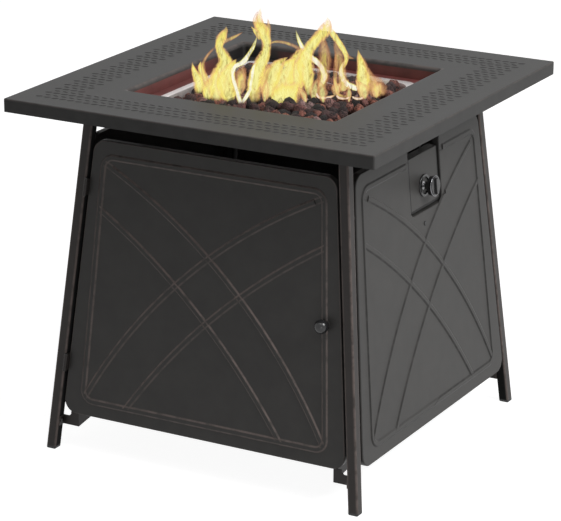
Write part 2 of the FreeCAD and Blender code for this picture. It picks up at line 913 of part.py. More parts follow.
def knob_bezel():
    ring = control_rod(bezel_outer, plate_face, plate_face + bezel)
    rim = [e for e in ring.Edges if e.Length > 6 * bezel_outer]
    outer_rim = max(rim, key=lambda e: e.CenterOfMass.x)
    ring = ring.makeFillet(bezel * 0.6, [outer_rim])
    return ring.cut(control_rod(bezel_inner, plate_face, plate_face + bezel))


def knob_neck():
    neck = control_rod(neck_radius, neck_foot, knob_face - knob_grip - knob_head)
    return neck.cut(control_rod(stem_radius, neck_foot, stem_tip))


def control_knob():
    disc_top = knob_face - knob_grip
    disc = control_rod(knob_radius, disc_top - knob_head, disc_top)
    rims = [e for e in disc.Edges if e.Length > 6 * knob_radius]
    disc = disc.makeFillet(1.5, [max(rims, key=lambda e: e.CenterOfMass.x)])
    long_half = knob_radius - knob_grip_inset
    grip = flat_block((notch_centre - knob_grip_width / 2, notch_centre + knob_grip_width / 2),
                      (knob_height - long_half, knob_height + long_half), (disc_top - 1, knob_face))
    grip = grip.makeFillet(1.2, [e for e in grip.Edges])
    bore = control_rod(stem_radius, disc_top - knob_head, stem_tip)
    return joined([disc, grip]).cut(bore)


def knob_trim():
    middle = knob_face - knob_grip - knob_ring
    ring = control_rod(knob_ring_radius, middle - knob_ring / 2, middle + knob_ring / 2)
    ring = ring.makeFillet(1.0, [e for e in ring.Edges if e.Length > 6 * knob_radius])
    return ring.cut(control_rod(knob_radius, middle - knob_ring / 2, middle + knob_ring / 2))


# Gas pipe, injector and mixer -------------------------------------------------------------

def gas_pipe_path():
    port = pipe_port()
    up = slope_up()
    rise = (mixer_axis - port.z) / up.z
    corner = port + up * rise
    start = Vec(mixer_length + injector_body - socket_depth, 0, mixer_axis)
    swing = Vec(corner.x - pipe_swing, 0, mixer_axis)
    return [start, swing, corner, port - up * (socket_depth - 1)]


def gas_pipe():
    path = gas_pipe_path()
    return swept(path, pipe_bend, pipe_radius).cut(swept(path, pipe_bend, pipe_radius - pipe_wall))


def injector():
    """Brass jet on the end of the pipe, its nose through the cap of the mixer."""
    face = Vec(mixer_length, 0, mixer_axis)
    along = Vec(1, 0, 0)
    body = hexagon(injector_hex * 1.15, face, along, injector_body)
    nose = rod(face - along * injector_nose, face, pipe_radius)
    jet = rod(face - along * injector_nose, face + along * injector_body, injector_hole)
    socket_start = face + along * (injector_body - socket_depth)
    socket = rod(socket_start, face + along * injector_body, pipe_radius)
    return joined([body, nose]).cut([jet, socket])


def air_mixer():
    """Elbow under the pan: a tube with air holes that leads into a cup round the burner stub."""
    cup_top = pan_floor - locknut - 0.5
    stub_low = pan_floor - stub_drop
    middle = Vec(0, 0, mixer_axis)
    cup_low = mixer_axis - mixer_radius - mixer_floor / 2
    cup = rod(Vec(0, 0, cup_low), Vec(0, 0, cup_top), mixer_cup_radius)
    arm = rod(middle, middle + Vec(mixer_length, 0, 0), mixer_radius)
    seat = rod(Vec(0, 0, stub_low), Vec(0, 0, cup_top), stub_radius)
    throat = rod(Vec(0, 0, cup_low + mixer_floor), Vec(0, 0, stub_low), stub_radius - stub_wall)
    bore = rod(middle, middle + Vec(mixer_length - mixer_cap, 0, 0), mixer_bore)
    cap_hole = rod(middle, middle + Vec(mixer_length, 0, 0), pipe_radius)
    air = middle + Vec(mixer_length - air_hole_inset, 0, 0)
    holes = [rod(air - side * mixer_radius * 1.2, air + side * mixer_radius * 1.2, air_hole)
             for side in (Vec(0, 1, 0), Vec(0, 0, 1))]
    return joined([cup, arm]).cut([seat, throat, bore, cap_hole] + holes)


# Fire well, pan and burner ----------------------------------------------------------------

def fire_well():
    outer_half = well_half + well_sheet
    flange_low = lip_low - well_sheet
    ledge_low = ledge_top - well_sheet
    flange = square_prism(well_half + well_flange, opening_corner, flange_low, lip_low)
    walls = square_prism(outer_half, opening_corner + well_sheet, ledge_low, lip_low)
    inside = square_prism(well_half, opening_corner, ledge_top, lip_low)
    mouth = square_prism(well_half - well_ledge, pan_corner, ledge_low, ledge_top)
    radius = well_stud_radius + hole_play
    holes = [turned(Part.makeCylinder(radius, well_sheet, place + Vec(0, 0, flange_low)), turns)
             for turns in range(4) for place in well_stud_places()]
    return joined([flange, walls]).cut([inside, mouth] + holes)


def pan_bowl(grow, z_low):
    """Bowl that narrows towards its floor."""
    top = ledge_top + pan_sheet
    shapes = []
    for half, corner, height in ((pan_floor_half, pan_corner - 6, z_low), (pan_top_half, pan_corner, top)):
        reach = half + grow
        corners = [(-reach, -reach), (reach, -reach), (reach, reach), (-reach, reach)]
        wire = rounded_wire(corners, [corner + grow] * 4)
        wire.translate(Vec(0, 0, height))
        shapes.append(wire)
    return Part.makeLoft(shapes, True, True)


def burner_pan():
    flange = square_prism(pan_flange_half, pan_corner, ledge_top, ledge_top + pan_sheet)
    inside = pan_bowl(0, pan_inside)
    holes = [rod(Vec(0, 0, pan_floor), Vec(0, 0, pan_inside), stub_radius + hole_play)]
    for turns in range(4):
        place = Vec(drain_place, drain_place, pan_floor)
        holes.append(turned(Part.makeCylinder(drain_radius, pan_sheet, place), turns))
    for aside, radius in sensor_rods():
        holes.append(Part.makeCylinder(radius + hole_play, pan_sheet, Vec(sensor_place, aside, pan_floor)))
    return joined([flange, pan_bowl(pan_sheet, pan_floor)]).cut([inside] + holes)


def burner():
    """Ring burner: hollow ring, three spokes and a hub whose stub goes down through the pan."""
    middle = Vec(0, 0, burner_height)
    low = Vec(0, 0, pan_floor - stub_drop)
    hub_top = burner_height + burner_tube
    outer = [Part.makeTorus(burner_radius, burner_tube, middle),
             rod(Vec(0, 0, pan_inside), Vec(0, 0, hub_top), hub_radius),
             rod(low, middle, stub_radius)]
    inner = [Part.makeTorus(burner_radius, burner_tube - burner_wall, middle),
             rod(low, Vec(0, 0, hub_top - hub_cap), stub_radius - stub_wall)]
    for angle in (90, 210, 330):
        out = Vec(math.cos(math.radians(angle)), math.sin(math.radians(angle)), 0)
        outer.append(rod(middle + out * (hub_radius - 4), middle + out * burner_radius, spoke_radius))
        inner.append(rod(middle, middle + out * burner_radius, spoke_radius - spoke_wall))
    ports = []
    for index in range(port_count):
        turn = math.radians(360 / port_count * (index + 0.5))
        place = middle + Vec(math.cos(turn), math.sin(turn), 0) * burner_radius
        ports.append(Part.makeCylinder(port_radius, burner_tube + 1, place))
    return joined(outer).cut(joined(inner)).cut(ports)


def burner_locknut():
    ring = hexagon(locknut_radius * 1.15, Vec(0, 0, pan_floor - locknut), Vec(0, 0, 1), locknut)
    return ring.cut(rod(Vec(0, 0, pan_floor - locknut), Vec(0, 0, pan_floor), stub_radius))


def sensor_rods():
    """Distance aside and radius of the spark electrode and of the thermocouple."""
    return [(electrode_aside, electrode_radius), (thermocouple_aside, thermocouple_radius)]


def sensor_collar_block(aside, radius):
    base = pan_inside + plate_sheet
    return rod(Vec(sensor_place, aside, base), Vec(sensor_place, aside, base + sensor_collar), radius + 2)


def sensor_body(aside, radius, top):
    low = Vec(sensor_place, aside, pan_floor - sensor_drop)
    return joined([rod(low, Vec(sensor_place, aside, top), radius), sensor_collar_block(aside, radius)])


def spark_electrode():
    ceramic_top = electrode_height - electrode_bare
    ceramic = sensor_body(electrode_aside, electrode_radius, ceramic_top)
    wire = rod(Vec(sensor_place, electrode_aside, ceramic_top),
               Vec(sensor_place, electrode_aside, electrode_height), electrode_tip)
    return joined([ceramic, wire])


def thermocouple():
    tip = thermocouple_height - thermocouple_radius
    probe = sensor_body(thermocouple_aside, thermocouple_radius, tip)
    return joined([probe, Part.makeSphere(thermocouple_radius, Vec(sensor_place, thermocouple_aside, tip))])


def sensor_bracket():
    """Plate on the pan floor that the electrode and the thermocouple stand in."""
    base = pan_inside
    plate = box((sensor_place - sensor_margin, sensor_place + sensor_margin),
                (thermocouple_aside - sensor_margin, electrode_aside + sensor_margin),
                (base, base + plate_sheet))
    holes = [Part.makeCylinder(radius + hole_play, plate_sheet, Vec(sensor_place, aside, base))
             for aside, radius in sensor_rods()]
    return plate.cut(holes)


def lead(aside):
    """Wire from under the pan to the back of the valve."""
    low = pan_floor - sensor_drop
    shift = notch_centre + aside / 4
    entry = side_point(shift, knob_height + lead_entry, valve_back, 0, 1)
    inward = (control_point(0) - control_point(1)).normalize()
    points = [Vec(sensor_place, aside, low), Vec(sensor_place, aside, low - lead_drop),
              Vec(sensor_place + lead_run, aside, low - lead_drop - 2), entry + inward * lead_drop, entry]
    return swept(points, lead_drop * 0.4, lead_radius)


# Lava rocks -------------------------------------------------------------------------------

def kept_below(faces, normal, offset):
    """Part of a convex block, given as loops of points, where normal . point <= offset."""
    kept = []
    rim = []
    for loop in faces:
        depths = [normal.dot(point) - offset for point in loop]
        part = []
        for index, point in enumerate(loop):
            after = (index + 1) % len(loop)
            here, there = depths[index], depths[after]
            if here <= 0:
                part.append(point)
            if here * there < 0:
                cross = point + (loop[after] - point) * (here / (here - there))
                part.append(cross)
                rim.append(cross)
        if len(part) > 2:
            kept.append(part)
    if rim:
        kept.append(ordered_rim(rim, normal))
    return kept


def ordered_rim(points, normal):
    """The cut's points, one of each, in order round the cut."""
    middle = sum(points, Vec()) / len(points)
    side = (points[0] - middle).normalize()
    other = normal.cross(side)

    def turn(point):
        return math.atan2((point - middle).dot(other), (point - middle).dot(side))

    loop = []
    for point in sorted(points, key=turn):
        if not loop or (point - loop[-1]).Length > 0.001:
            loop.append(point)
    return loop


def block_faces(centre, reach):
    """Faces of a cube about a centre, as loops of points."""
    faces = []
    for axis in range(3):
        for side in (-1, 1):
            loop = []
            for first, second in ((-1, -1), (1, -1), (1, 1), (-1, 1)):
                corner = [0, 0, 0]
                corner[axis] = side * reach
                corner[(axis + 1) % 3] = first * reach
                corner[(axis + 2) % 3] = second * reach
                loop.append(centre + Vec(*corner))
            faces.append(loop)
    return faces


def rock_seeds(chance):
    """Jittered middles of the rocks: a full upper layer, and a lower one outside the burner."""
    count = int(2 * pan_top_half / rock_pitch)
    first = -(count - 1) / 2 * rock_pitch
    burner_reach = burner_radius + burner_tube + rock_pitch * 0.3
    seeds = []
    for row in range(count):
        for column in range(count):
            for level in (upper_rocks, lower_rocks):
                slip = Vec(*[chance.uniform(-rock_jitter, rock_jitter) for _ in range(3)])
                seed = Vec(first + column * rock_pitch, first + row * rock_pitch, level) + slip
                lower = level == lower_rocks
                near_sensor = abs(seed.x - sensor_place) < rock_pitch and abs(seed.y) < rock_pitch
                if lower and (math.hypot(seed.x, seed.y) < burner_reach or near_sensor):
                    continue
                if abs(seed.x) + abs(seed.y) < 2 * pan_floor_half - pan_corner:
                    seeds.append(seed)
    return seeds


def pan_planes():
    """Planes that keep the rocks clear of the pan's walls, corners and floor."""
    depth = ledge_top + pan_sheet - pan_inside
    spread = (pan_top_half - pan_floor_half) / depth
    planes = [(Vec(0, 0, -1), -pan_inside - rock_gap)]
    for quarter in range(4):
        wall = Vec(math.cos(quarter * math.pi / 2), math.sin(quarter * math.pi / 2), 0)
        normal = (wall - Vec(0, 0, spread)).normalize()
        foot = wall * (pan_floor_half - rock_margin) + Vec(0, 0, pan_inside)
        planes.append((normal, normal.dot(foot)))
        turn = (quarter + 0.5) * math.pi / 2
        corner = Vec(math.cos(turn), math.sin(turn), 0)
        reach = (pan_floor_half - rock_margin) * math.sqrt(2) - pan_corner * (math.sqrt(2) - 1) * 1.15
        planes.append((corner, reach))
    return planes


def obstacle_planes(seed):
    """Planes that keep a rock clear of the burner, the electrode and the thermocouple."""
    planes = []
    reach = burner_radius + burner_tube + rock_margin
    across = math.hypot(seed.x, seed.y)
    sensor_middle = (electrode_aside + thermocouple_aside) / 2
    offset = Vec(seed.x - sensor_place, seed.y - sensor_middle, 0)
    sensor_reach = (electrode_aside - thermocouple_aside) / 2 + electrode_radius + rock_margin + 2
    if seed.z < (upper_rocks + lower_rocks) / 2:
        out = Vec(seed.x, seed.y, 0).normalize()
        planes.append((out * -1, -reach))
        if offset.Length > sensor_reach:
            away = offset.normalize()
            place = Vec(sensor_place, sensor_middle, 0) + away * sensor_reach
            planes.append((away * -1, -away.dot(place)))
        return planes
    if offset.Length < sensor_reach + rock_pitch:
        planes.append((Vec(0, 0, -1), -electrode_height - rock_margin))
    elif across < reach + rock_pitch:
        planes.append((Vec(0, 0, -1), -burner_height - burner_tube - rock_margin))
    return planes


def rock(seed, seeds, chance):
    """One rock: the space nearest its middle, with its corners knocked off."""
    faces = block_faces(seed, rock_pitch)
    planes = pan_planes() + obstacle_planes(seed)
    for other in seeds:
        apart = other - seed
        if 0 < apart.Length < 2.5 * rock_pitch:
            normal = Vec(apart).normalize()
            planes.append((normal, normal.dot(seed) + apart.Length / 2 - rock_gap / 2))
    slant = Vec(chance.uniform(-0.3, 0.3), chance.uniform(-0.3, 0.3), 1).normalize()
    crest = Vec(seed.x, seed.y, heap_top - chance.uniform(0, heap_fall))
    planes += [(Vec(0, 0, 1), heap_top), (slant, slant.dot(crest))]
    for _ in range(8):
        chip = Vec(*[chance.gauss(0, 1) for _ in range(3)]).normalize()
        planes.append((chip, chip.dot(seed) + rock_pitch * chance.uniform(0.5, 0.6)))
    for normal, offset in planes:
        faces = kept_below(faces, normal, offset)
    shell = Part.makeShell([polygon(loop) for loop in faces])
    shell.sewShape()
    solid = Part.makeSolid(Part.Shell(shell.Faces))
    return solid if solid.Volume > 0 else solid.reversed()


def lava_rocks():
    chance = random.Random(28)
    seeds = rock_seeds(chance)
    rocks = [rock(seed, seeds, chance) for seed in seeds]
    return [piece for piece in rocks if piece.Volume > (rock_pitch / 3) ** 3]


# Flames -----------------------------------------------------------------------------------

def flame(foot, tip, width, sway):
    """Tongue of flame: round sections that swell, sway and shrink to a point."""
    wires = []
    base = Vec(foot[0], foot[1], heap_top + flame_lift)
    top = Vec(tip[0], tip[1], table_height + tip[2])
    for share, swell in flame_stages:
        middle = base + (top - base) * share
        middle += flame_lean * (sway * math.sin(share * math.pi * 1.5))
        wires.append(Part.Wire(Part.makeCircle(width / 2 * swell, middle, Vec(0, 0, 1))))
    return Part.makeLoft(wires, True, False)


def flames():
    """Tongues that grow out of one another, from the rear left to the front right."""
    return joined([flame(*tongue) for tongue in flame_tongues])


# Door, hinges and catch ---------------------------------------------------------------------

def door_panel():
    pad_place = Vec(door_knob_across, door_knob_height * slope_length, -panel_sheet / 2)
    pad = Part.makeCylinder(door_knob_radius - 2, panel_sheet / 2 + bead_height, pad_place)
    skin = joined([panel(door_recess, False, 0), on_side(pad, door_recess, 0)])
    hole = door_rod(door_screw_radius + screw_play, -panel_sheet * 2, bead_height + 1)
    rivets = [rivet_rod(place, rivet_radius) for place in door_rivets()]
    return skin.cut([hole] + rivets)


def door_rod(radius, inner, outer):
    start = side_point(door_knob_across, door_knob_height, inner, door_recess, 0)
    return rod(start, side_point(door_knob_across, door_knob_height, outer, door_recess, 0), radius)


def door_knob():
    """Turned ball knob with a short neck, drawn as half a section and spun."""
    seat = bead_height
    belly = seat + door_knob_length - door_knob_radius
    waist = Vec(door_knob_neck, 0, seat + door_knob_waist)
    shoulder = Vec(door_knob_radius, 0, belly)
    crown = Vec(0, 0, seat + door_knob_length)
    lean = math.radians(-35)
    under = Vec(math.cos(lean) * door_knob_radius, 0, belly + math.sin(lean) * door_knob_radius)
    edges = [Part.LineSegment(Vec(0, 0, seat), Vec(door_knob_neck, 0, seat)).toShape(),
             Part.LineSegment(Vec(door_knob_neck, 0, seat), waist).toShape(),
             Part.LineSegment(waist, under).toShape(),
             Part.Arc(under, shoulder, crown).toShape(),
             Part.LineSegment(crown, Vec(0, 0, seat)).toShape()]
    solid = Part.Face(Part.Wire(edges)).revolve(Vec(0, 0, 0), Vec(0, 0, 1), 360)
    solid.translate(Vec(door_knob_across, door_knob_height * slope_length, 0))
    placed = on_side(solid, door_recess, 0)
    return placed.cut(door_rod(door_screw_radius, bead_height - 1, bead_height + door_screw_depth))


def door_knob_screw():
    out = side_point(0, 0, 1, 0, 0) - side_point(0, 0, 0, 0, 0)
    seat = side_point(door_knob_across, door_knob_height, -panel_sheet, door_recess, 0)
    return button_screw(seat, out, panel_sheet + bead_height + door_screw_depth, door_screw_radius,
                        2 * door_screw_radius, screw_head)


def hinge_axis_point(height):
    """Point of the hinge axis, in front of the slanting gap beside the front left leg."""
    across = leg_half(height) - tube - panel_gap / 2
    return Vec(-across, -leg_half(height) - knuckle_forward, height)


def hinge_placement(height):
    """Local frame of a hinge: z along its pin, x away from the leg, y towards the inside."""
    along = Vec(leg_lean, leg_lean, 1).normalize()
    away = Vec(1, 0, -leg_lean).normalize()
    inward = along.cross(away)
    matrix = FreeCAD.Matrix(away.x, inward.x, along.x, 0, away.y, inward.y, along.y, 0,
                            away.z, inward.z, along.z, 0, 0, 0, 0, 1)
    return FreeCAD.Placement(hinge_axis_point(height), FreeCAD.Placement(matrix).Rotation)


def in_hinge(shape, height):
    placed = shape.copy()
    placed.Placement = hinge_placement(height).multiply(placed.Placement)
    return placed


def knuckle(low, high):
    return Part.makeCylinder(knuckle_radius, high - low, Vec(0, 0, low))


def hinge_leaf(side):
    """Leaf with its knuckles: side -1 lies on the leg, side 1 on the hem of the door."""
    half = hinge_length / 2
    third = hinge_length / 3 / 2
    face = side * fixing_gap / 2
    plate_x = (min(face, face - side * leaf_sheet), max(face, face - side * leaf_sheet))
    clear = knuckle_radius + 0.5
    plate = box(plate_x, (clear, leaf_reach), (-half, half))
    outer_spans = [(-half, -third - knuckle_play), (third + knuckle_play, half)]
    spans = outer_spans if side < 0 else [(-third, third)]
    pieces = [plate]
    for low, high in spans:
        pieces.append(knuckle(low, high))
        pieces.append(box(plate_x, (0, clear), (low, high)))
    bore = Part.makeCylinder(hinge_pin_radius + running_fit, hinge_length, Vec(0, 0, -half))
    rivets = [Part.makeCylinder(rivet_radius, 3 * leaf_sheet,
                                Vec(plate_x[0] - leaf_sheet, rivet_back, step), Vec(1, 0, 0))
              for step in rivet_steps()]
    return joined(pieces).cut([bore] + rivets)


def rivet_steps():
    return (-hinge_length / 3, hinge_length / 3)


def hinge_leaves(side):
    return [in_hinge(hinge_leaf(side), height) for height in hinge_centres]


def hinge_pins():
    half = hinge_length / 2
    pins = []
    for height in hinge_centres:
        low = Vec(0, 0, -half - hinge_pin_head)
        pin = Part.makeCylinder(hinge_pin_radius, hinge_length + hinge_pin_head, low)
        head = Part.makeCylinder(hinge_pin_head_radius, hinge_pin_head, Vec(0, 0, half))
        foot = Part.makeCylinder(hinge_pin_head_radius, hinge_pin_head, low)
        pins.append(in_hinge(joined([pin, head, foot]), height))
    return pins


def rivet_rod(place, radius):
    start, out = place
    return Part.makeCylinder(radius, 4 * leaf_sheet, start - out * leaf_sheet, out)


def rivet_places(side):
    """Seat of each hinge rivet on its leaf, and the direction into the leg or the hem."""
    places = []
    for height in hinge_centres:
        placement = hinge_placement(height)
        out = placement.Rotation.multVec(Vec(side, 0, 0))
        for step in rivet_steps():
            seat = placement.multVec(Vec(side * (fixing_gap / 2 - leaf_sheet), rivet_back, step))
            places.append((seat, out))
    return places


def door_rivets():
    return rivet_places(1)


def leg_rivets():
    return rivet_places(-1)


def rivet(place):
    """Rivet with a flat head on the leaf and a closing head behind the sheet."""
    seat, out = place
    sheet = leaf_sheet + (panel_sheet if out.x > 0 else tube_wall)
    return joined([Part.makeCylinder(rivet_head_radius, rivet_head, seat - out * rivet_head, out),
                   Part.makeCylinder(rivet_radius, sheet, seat, out),
                   Part.makeCylinder(rivet_head_radius, rivet_head, seat + out * sheet, out)])


def door_catch():
    """Magnetic catch on the back of the front right leg, its nose behind the door's strike."""
    low = door_knob_height - catch_height / 2
    high = door_knob_height + catch_height / 2
    nose_front = door_recess + panel_hem + catch_play
    inner = tube + panel_gap + panel_sheet + strike_width
    back = leg_strip((panel_hem + catch_aside, inner), (tube, tube + catch_depth), low, high)
    nose = leg_strip((tube + catch_play, inner), (nose_front, tube), low, high)
    return joined([back, nose])


def door_strike():
    """Steel angle inside the door's hem that the catch holds."""
    low = door_knob_height - catch_height / 3
    high = door_knob_height + catch_height / 3
    hem = tube + panel_gap + panel_sheet * slope_length
    back = door_recess + panel_hem
    foot = leg_strip((hem, hem + strike_sheet), (door_recess + 4, back), low, high)
    plate = leg_strip((hem, hem + strike_width), (back - strike_sheet, back), low, high)
    return joined([foot, plate])


# Bottom shelf, brackets and tank screw ------------------------------------------------------

def shelf_outline(inset):
    half = shelf_reach - inset
    cut = half - shelf_chamfer
    corners = []
    for x, y in ((1, -1), (1, 1), (-1, 1), (-1, -1)):
        pair = [Vec(x * half, y * cut, 0), Vec(x * cut, y * half, 0)]
        corners += pair if x * y > 0 else pair[::-1]
    return polygon(corners)


def raised(face, z_low, z_high):
    copy = face.copy()
    copy.translate(Vec(0, 0, z_low))
    return copy.extrude(Vec(0, 0, z_high - z_low))


def bottom_shelf():
    floor_top = shelf_height + shelf_sheet
    flange_top = shelf_height + shelf_flange
    collar_top = floor_top + collar_height
    room = raised(shelf_outline(shelf_sheet), floor_top, flange_top)
    pan = raised(shelf_outline(0), shelf_height, flange_top).cut(room)
    collar = rod(Vec(0, 0, shelf_height), Vec(0, 0, collar_top), collar_radius + shelf_sheet)
    boss_start = Vec(0, -collar_radius, tank_screw_height)
    boss = rod(boss_start, boss_start - Vec(0, tank_screw_boss_length, 0), tank_screw_boss)
    hole = rod(Vec(0, 0, shelf_height), Vec(0, 0, collar_top), collar_radius)
    thread = rod(boss_start + Vec(0, shelf_sheet, 0), boss_start - Vec(0, tank_screw_boss_length, 0),
                 tank_screw_radius + running_fit)
    screws = [shelf_screw_hole(place, shelf_height, shelf_sheet) for place in shelf_screw_places()]
    return joined([pan, collar, boss]).cut([hole, thread] + screws)


def shelf_screw_places():
    """Middles of the screws between the shelf and its four brackets."""
    across = bracket_inset - bracket_tab / 2
    along = shelf_reach - shelf_chamfer
    return [Vec(x * across, y * along, 0) for x in (-1, 1) for y in (-1, 1)]


def shelf_screw_hole(place, z_low, length):
    return Part.makeCylinder(screw_radius + screw_play, length, place + Vec(0, 0, z_low))


def bracket():
    """Folded bracket between the front right leg and the shelf."""
    mid = (bracket_low + bracket_high) / 2
    y_low = bracket_depth - leg_half(mid) - bracket_sheet / 2
    lower = leg_half(bracket_low) - tube
    upper = leg_half(bracket_high) - tube
    shoulder = bracket_inset + bracket_shoulder
    step_y = door_recess + panel_hem + bracket_play - leg_half(shelf_height)
    step_z = panel_bottom - bracket_play
    gusset = polygon([Vec(lower, y_low, bracket_low), Vec(upper, y_low, bracket_high),
                      Vec(shoulder + 4, y_low, bracket_high), Vec(shoulder, y_low, bracket_high + 4),
                      Vec(shoulder, y_low, step_z), Vec(bracket_inset - bracket_sheet, y_low, step_z),
                      Vec(bracket_inset - bracket_sheet, y_low, bracket_low)])
    arm_end = y_low + bracket_arm
    arm_x = bracket_inset - bracket_sheet
    arm = polygon([Vec(arm_x, y_low, bracket_low), Vec(arm_x, arm_end, bracket_low + bracket_arm_rise),
                   Vec(arm_x, arm_end, shelf_height), Vec(arm_x, step_y, shelf_height),
                   Vec(arm_x, step_y, step_z), Vec(arm_x, y_low, step_z)])
    tab = box((bracket_inset - bracket_tab, bracket_inset), (-shelf_reach + 2, arm_end),
              (shelf_height - bracket_tab_sheet, shelf_height))
    foot = leg_strip((tube, tube + bracket_sheet), (3, bracket_depth), bracket_low, bracket_high)
    folded = joined([gusset.extrude(Vec(0, bracket_sheet, 0)), arm.extrude(Vec(bracket_sheet, 0, 0)),
                     tab, foot])
    start, out = bracket_fixing(1, -1)
    screw_hole = Part.makeCylinder(screw_radius + screw_play, 3 * bracket_sheet,
                                   start - out * bracket_sheet, out)
    shelf_hole = shelf_screw_hole(shelf_screw_places()[2], shelf_height - bracket_sheet, bracket_sheet)
    return folded.cut([screw_hole, shelf_hole])


def bracket_fixing(x_side, y_side):
    """Seat of the screw between a bracket's foot and its leg, and its direction."""
    height = (bracket_low + bracket_high) / 2
    gap = leg_half(height) - tube - bracket_sheet * slope_length
    start = Vec(x_side * gap, y_side * (leg_half(height) - fixing_depth - 2), height)
    return start, Vec(x_side, 0, leg_lean).normalize()


def bracket_fixings():
    """Starts set back so that the holes reach from the bracket through the leg's wall."""
    places = []
    for x_side in (-1, 1):
        for y_side in (-1, 1):
            start, out = bracket_fixing(x_side, y_side)
            places.append((start - out * (fixing_gap - tube_wall / 2 - bracket_sheet), out))
    return places


def corner_brackets():
    first = bracket()
    second = first.mirror(Vec(0, 0, 0), Vec(1, 0, 0))
    return [first, second] + [side.mirror(Vec(0, 0, 0), Vec(0, 1, 0)) for side in (first, second)]


def bracket_screws():
    screws = []
    for x_side in (-1, 1):
        for y_side in (-1, 1):
            seat, out = bracket_fixing(x_side, y_side)
            reach = bracket_sheet + tube_wall + screw_reach
            screws.append(button_screw(seat, out, reach, screw_radius, screw_head_radius, screw_head))
    return screws


def shelf_screws():
    top = shelf_height + shelf_sheet
    down = Vec(0, 0, -1)
    return [button_screw(place + Vec(0, 0, top), down, 2 * screw_reach, screw_radius,
                         screw_head_radius, screw_head) for place in shelf_screw_places()]


def tank_screw():
    """Thumb screw through the collar that holds the foot ring of a gas cylinder."""
    tip = Vec(0, -collar_radius, tank_screw_height)
    out = Vec(0, -1, 0)
    length = tank_screw_boss_length + tank_screw_travel + tank_screw_spare
    shank = rod(tip, tip + out * length, tank_screw_radius)
    head = rod(tip + out * length, tip + out * (length + tank_screw_head), tank_screw_head_radius)
    flutes = []
    for index in range(6):
        turn = index * math.pi / 3
        place = Vec(math.cos(turn), 0, math.sin(turn)) * (tank_screw_head_radius + flute_radius / 2)
        flutes.append(rod(tip + out * length + place, tip + out * (length + tank_screw_head) + place,
                          flute_radius))
    return joined([shank, head.cut(flutes)])


# Build --------------------------------------------------------------------------------------

def build():
    save("table_top", table_top())
    save("top_nuts", *top_nuts())
    save("well_nuts", *well_nuts())
    holes = leg_holes() + [rivet_rod(place, rivet_radius) for place in leg_rivets()]
    corner_names = ("front_right", "rear_right", "rear_left", "front_left")
    for turns, name in enumerate(corner_names):
        save("leg_" + name, turned(leg(), turns).cut(holes))
    save("foot_caps", *[turned(foot_cap(), turns) for turns in range(4)])
    rail_holes = rail_screw_holes()
    for turns, name in enumerate(("front", "right", "rear", "left")):
        save("rail_" + name, turned(rail(), turns).cut(rail_holes))
    hem = hem_holes()
    save("panel_right", panel(0, True, 1).cut(hem + [lower_screw_hole()]))
    save("panel_rear", panel(0, False, 2).cut(hem))
    save("panel_left", panel(0, False, 3).cut(hem))
    save("panel_spacers", *panel_spacers())
    save("panel_screws", *panel_screws())
    save("control_plate", control_plate())
    save("control_hanger", control_hanger())
    save("hanger_screws", *hanger_screws())
    save("valve_screws", *valve_screws())
    save("gas_valve", gas_valve())
    save("gas_inlet", gas_inlet())
    save("valve_stem", valve_stem())
    save("valve_plunger", valve_plunger())
    save("knob_bezel", knob_bezel())
    save("knob_neck", knob_neck())
    save("control_knob", control_knob())
    save("knob_trim", knob_trim())
    save("gas_pipe", gas_pipe())
    save("injector", injector())
    save("air_mixer", air_mixer())
    save("fire_well", fire_well())
    save("burner_pan", burner_pan())
    save("burner", burner())
    save("burner_locknut", burner_locknut())
    save("spark_electrode", spark_electrode())
    save("thermocouple", thermocouple())
    save("sensor_bracket", sensor_bracket())
    save("spark_lead", lead(electrode_aside))
    save("thermocouple_lead", lead(thermocouple_aside))
    save("lava_rocks", *lava_rocks())
    save("flames", flames())
    save("door_panel", door_panel())
    save("door_knob", door_knob())
    save("door_knob_screw", door_knob_screw())
    save("hinge_leaves_leg", *hinge_leaves(-1))
    save("hinge_leaves_door", *hinge_leaves(1))
    save("hinge_pins", *hinge_pins())
    save("hinge_rivets_leg", *[rivet(place) for place in leg_rivets()])
    save("hinge_rivets_door", *[rivet(place) for place in door_rivets()])
    save("door_catch", door_catch())
    save("door_strike", door_strike())
    save("bottom_shelf", bottom_shelf())
    save("corner_brackets", *corner_brackets())
    save("bracket_screws", *bracket_screws())
    save("shelf_screws", *shelf_screws())
    save("tank_screw", tank_screw())


build()
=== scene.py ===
import math
import random

import bmesh
import bpy
from mathutils import Matrix, Vector, noise


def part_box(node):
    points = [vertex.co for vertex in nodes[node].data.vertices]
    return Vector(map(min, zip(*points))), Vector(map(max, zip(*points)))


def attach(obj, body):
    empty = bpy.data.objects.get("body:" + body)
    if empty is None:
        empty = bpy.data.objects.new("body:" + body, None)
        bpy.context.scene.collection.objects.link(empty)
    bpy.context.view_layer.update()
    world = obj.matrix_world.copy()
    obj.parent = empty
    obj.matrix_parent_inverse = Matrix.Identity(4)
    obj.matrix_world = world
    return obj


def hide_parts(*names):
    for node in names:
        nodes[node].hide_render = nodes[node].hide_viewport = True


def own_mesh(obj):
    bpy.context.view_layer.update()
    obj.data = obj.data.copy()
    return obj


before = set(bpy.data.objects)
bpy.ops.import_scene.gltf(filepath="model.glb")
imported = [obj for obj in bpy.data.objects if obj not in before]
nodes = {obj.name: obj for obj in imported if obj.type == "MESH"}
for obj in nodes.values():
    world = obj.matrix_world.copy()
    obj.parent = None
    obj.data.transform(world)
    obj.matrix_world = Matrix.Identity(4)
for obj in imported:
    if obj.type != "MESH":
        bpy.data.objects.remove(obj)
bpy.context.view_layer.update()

# All lengths are metres. What the frame doesn't tell is repeated here from the part.
table_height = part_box("table_top")[1][2]
top_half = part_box("table_top")[1][0]
well_half = 0.202
lip_bend = 0.006
leg_lean = 0.0929
slope_length = math.hypot(1, leg_lean)
foot_half = 0.3136
tube = 0.019
panel_gap = 0.005
door_recess = 0.005
panel_low = 0.072
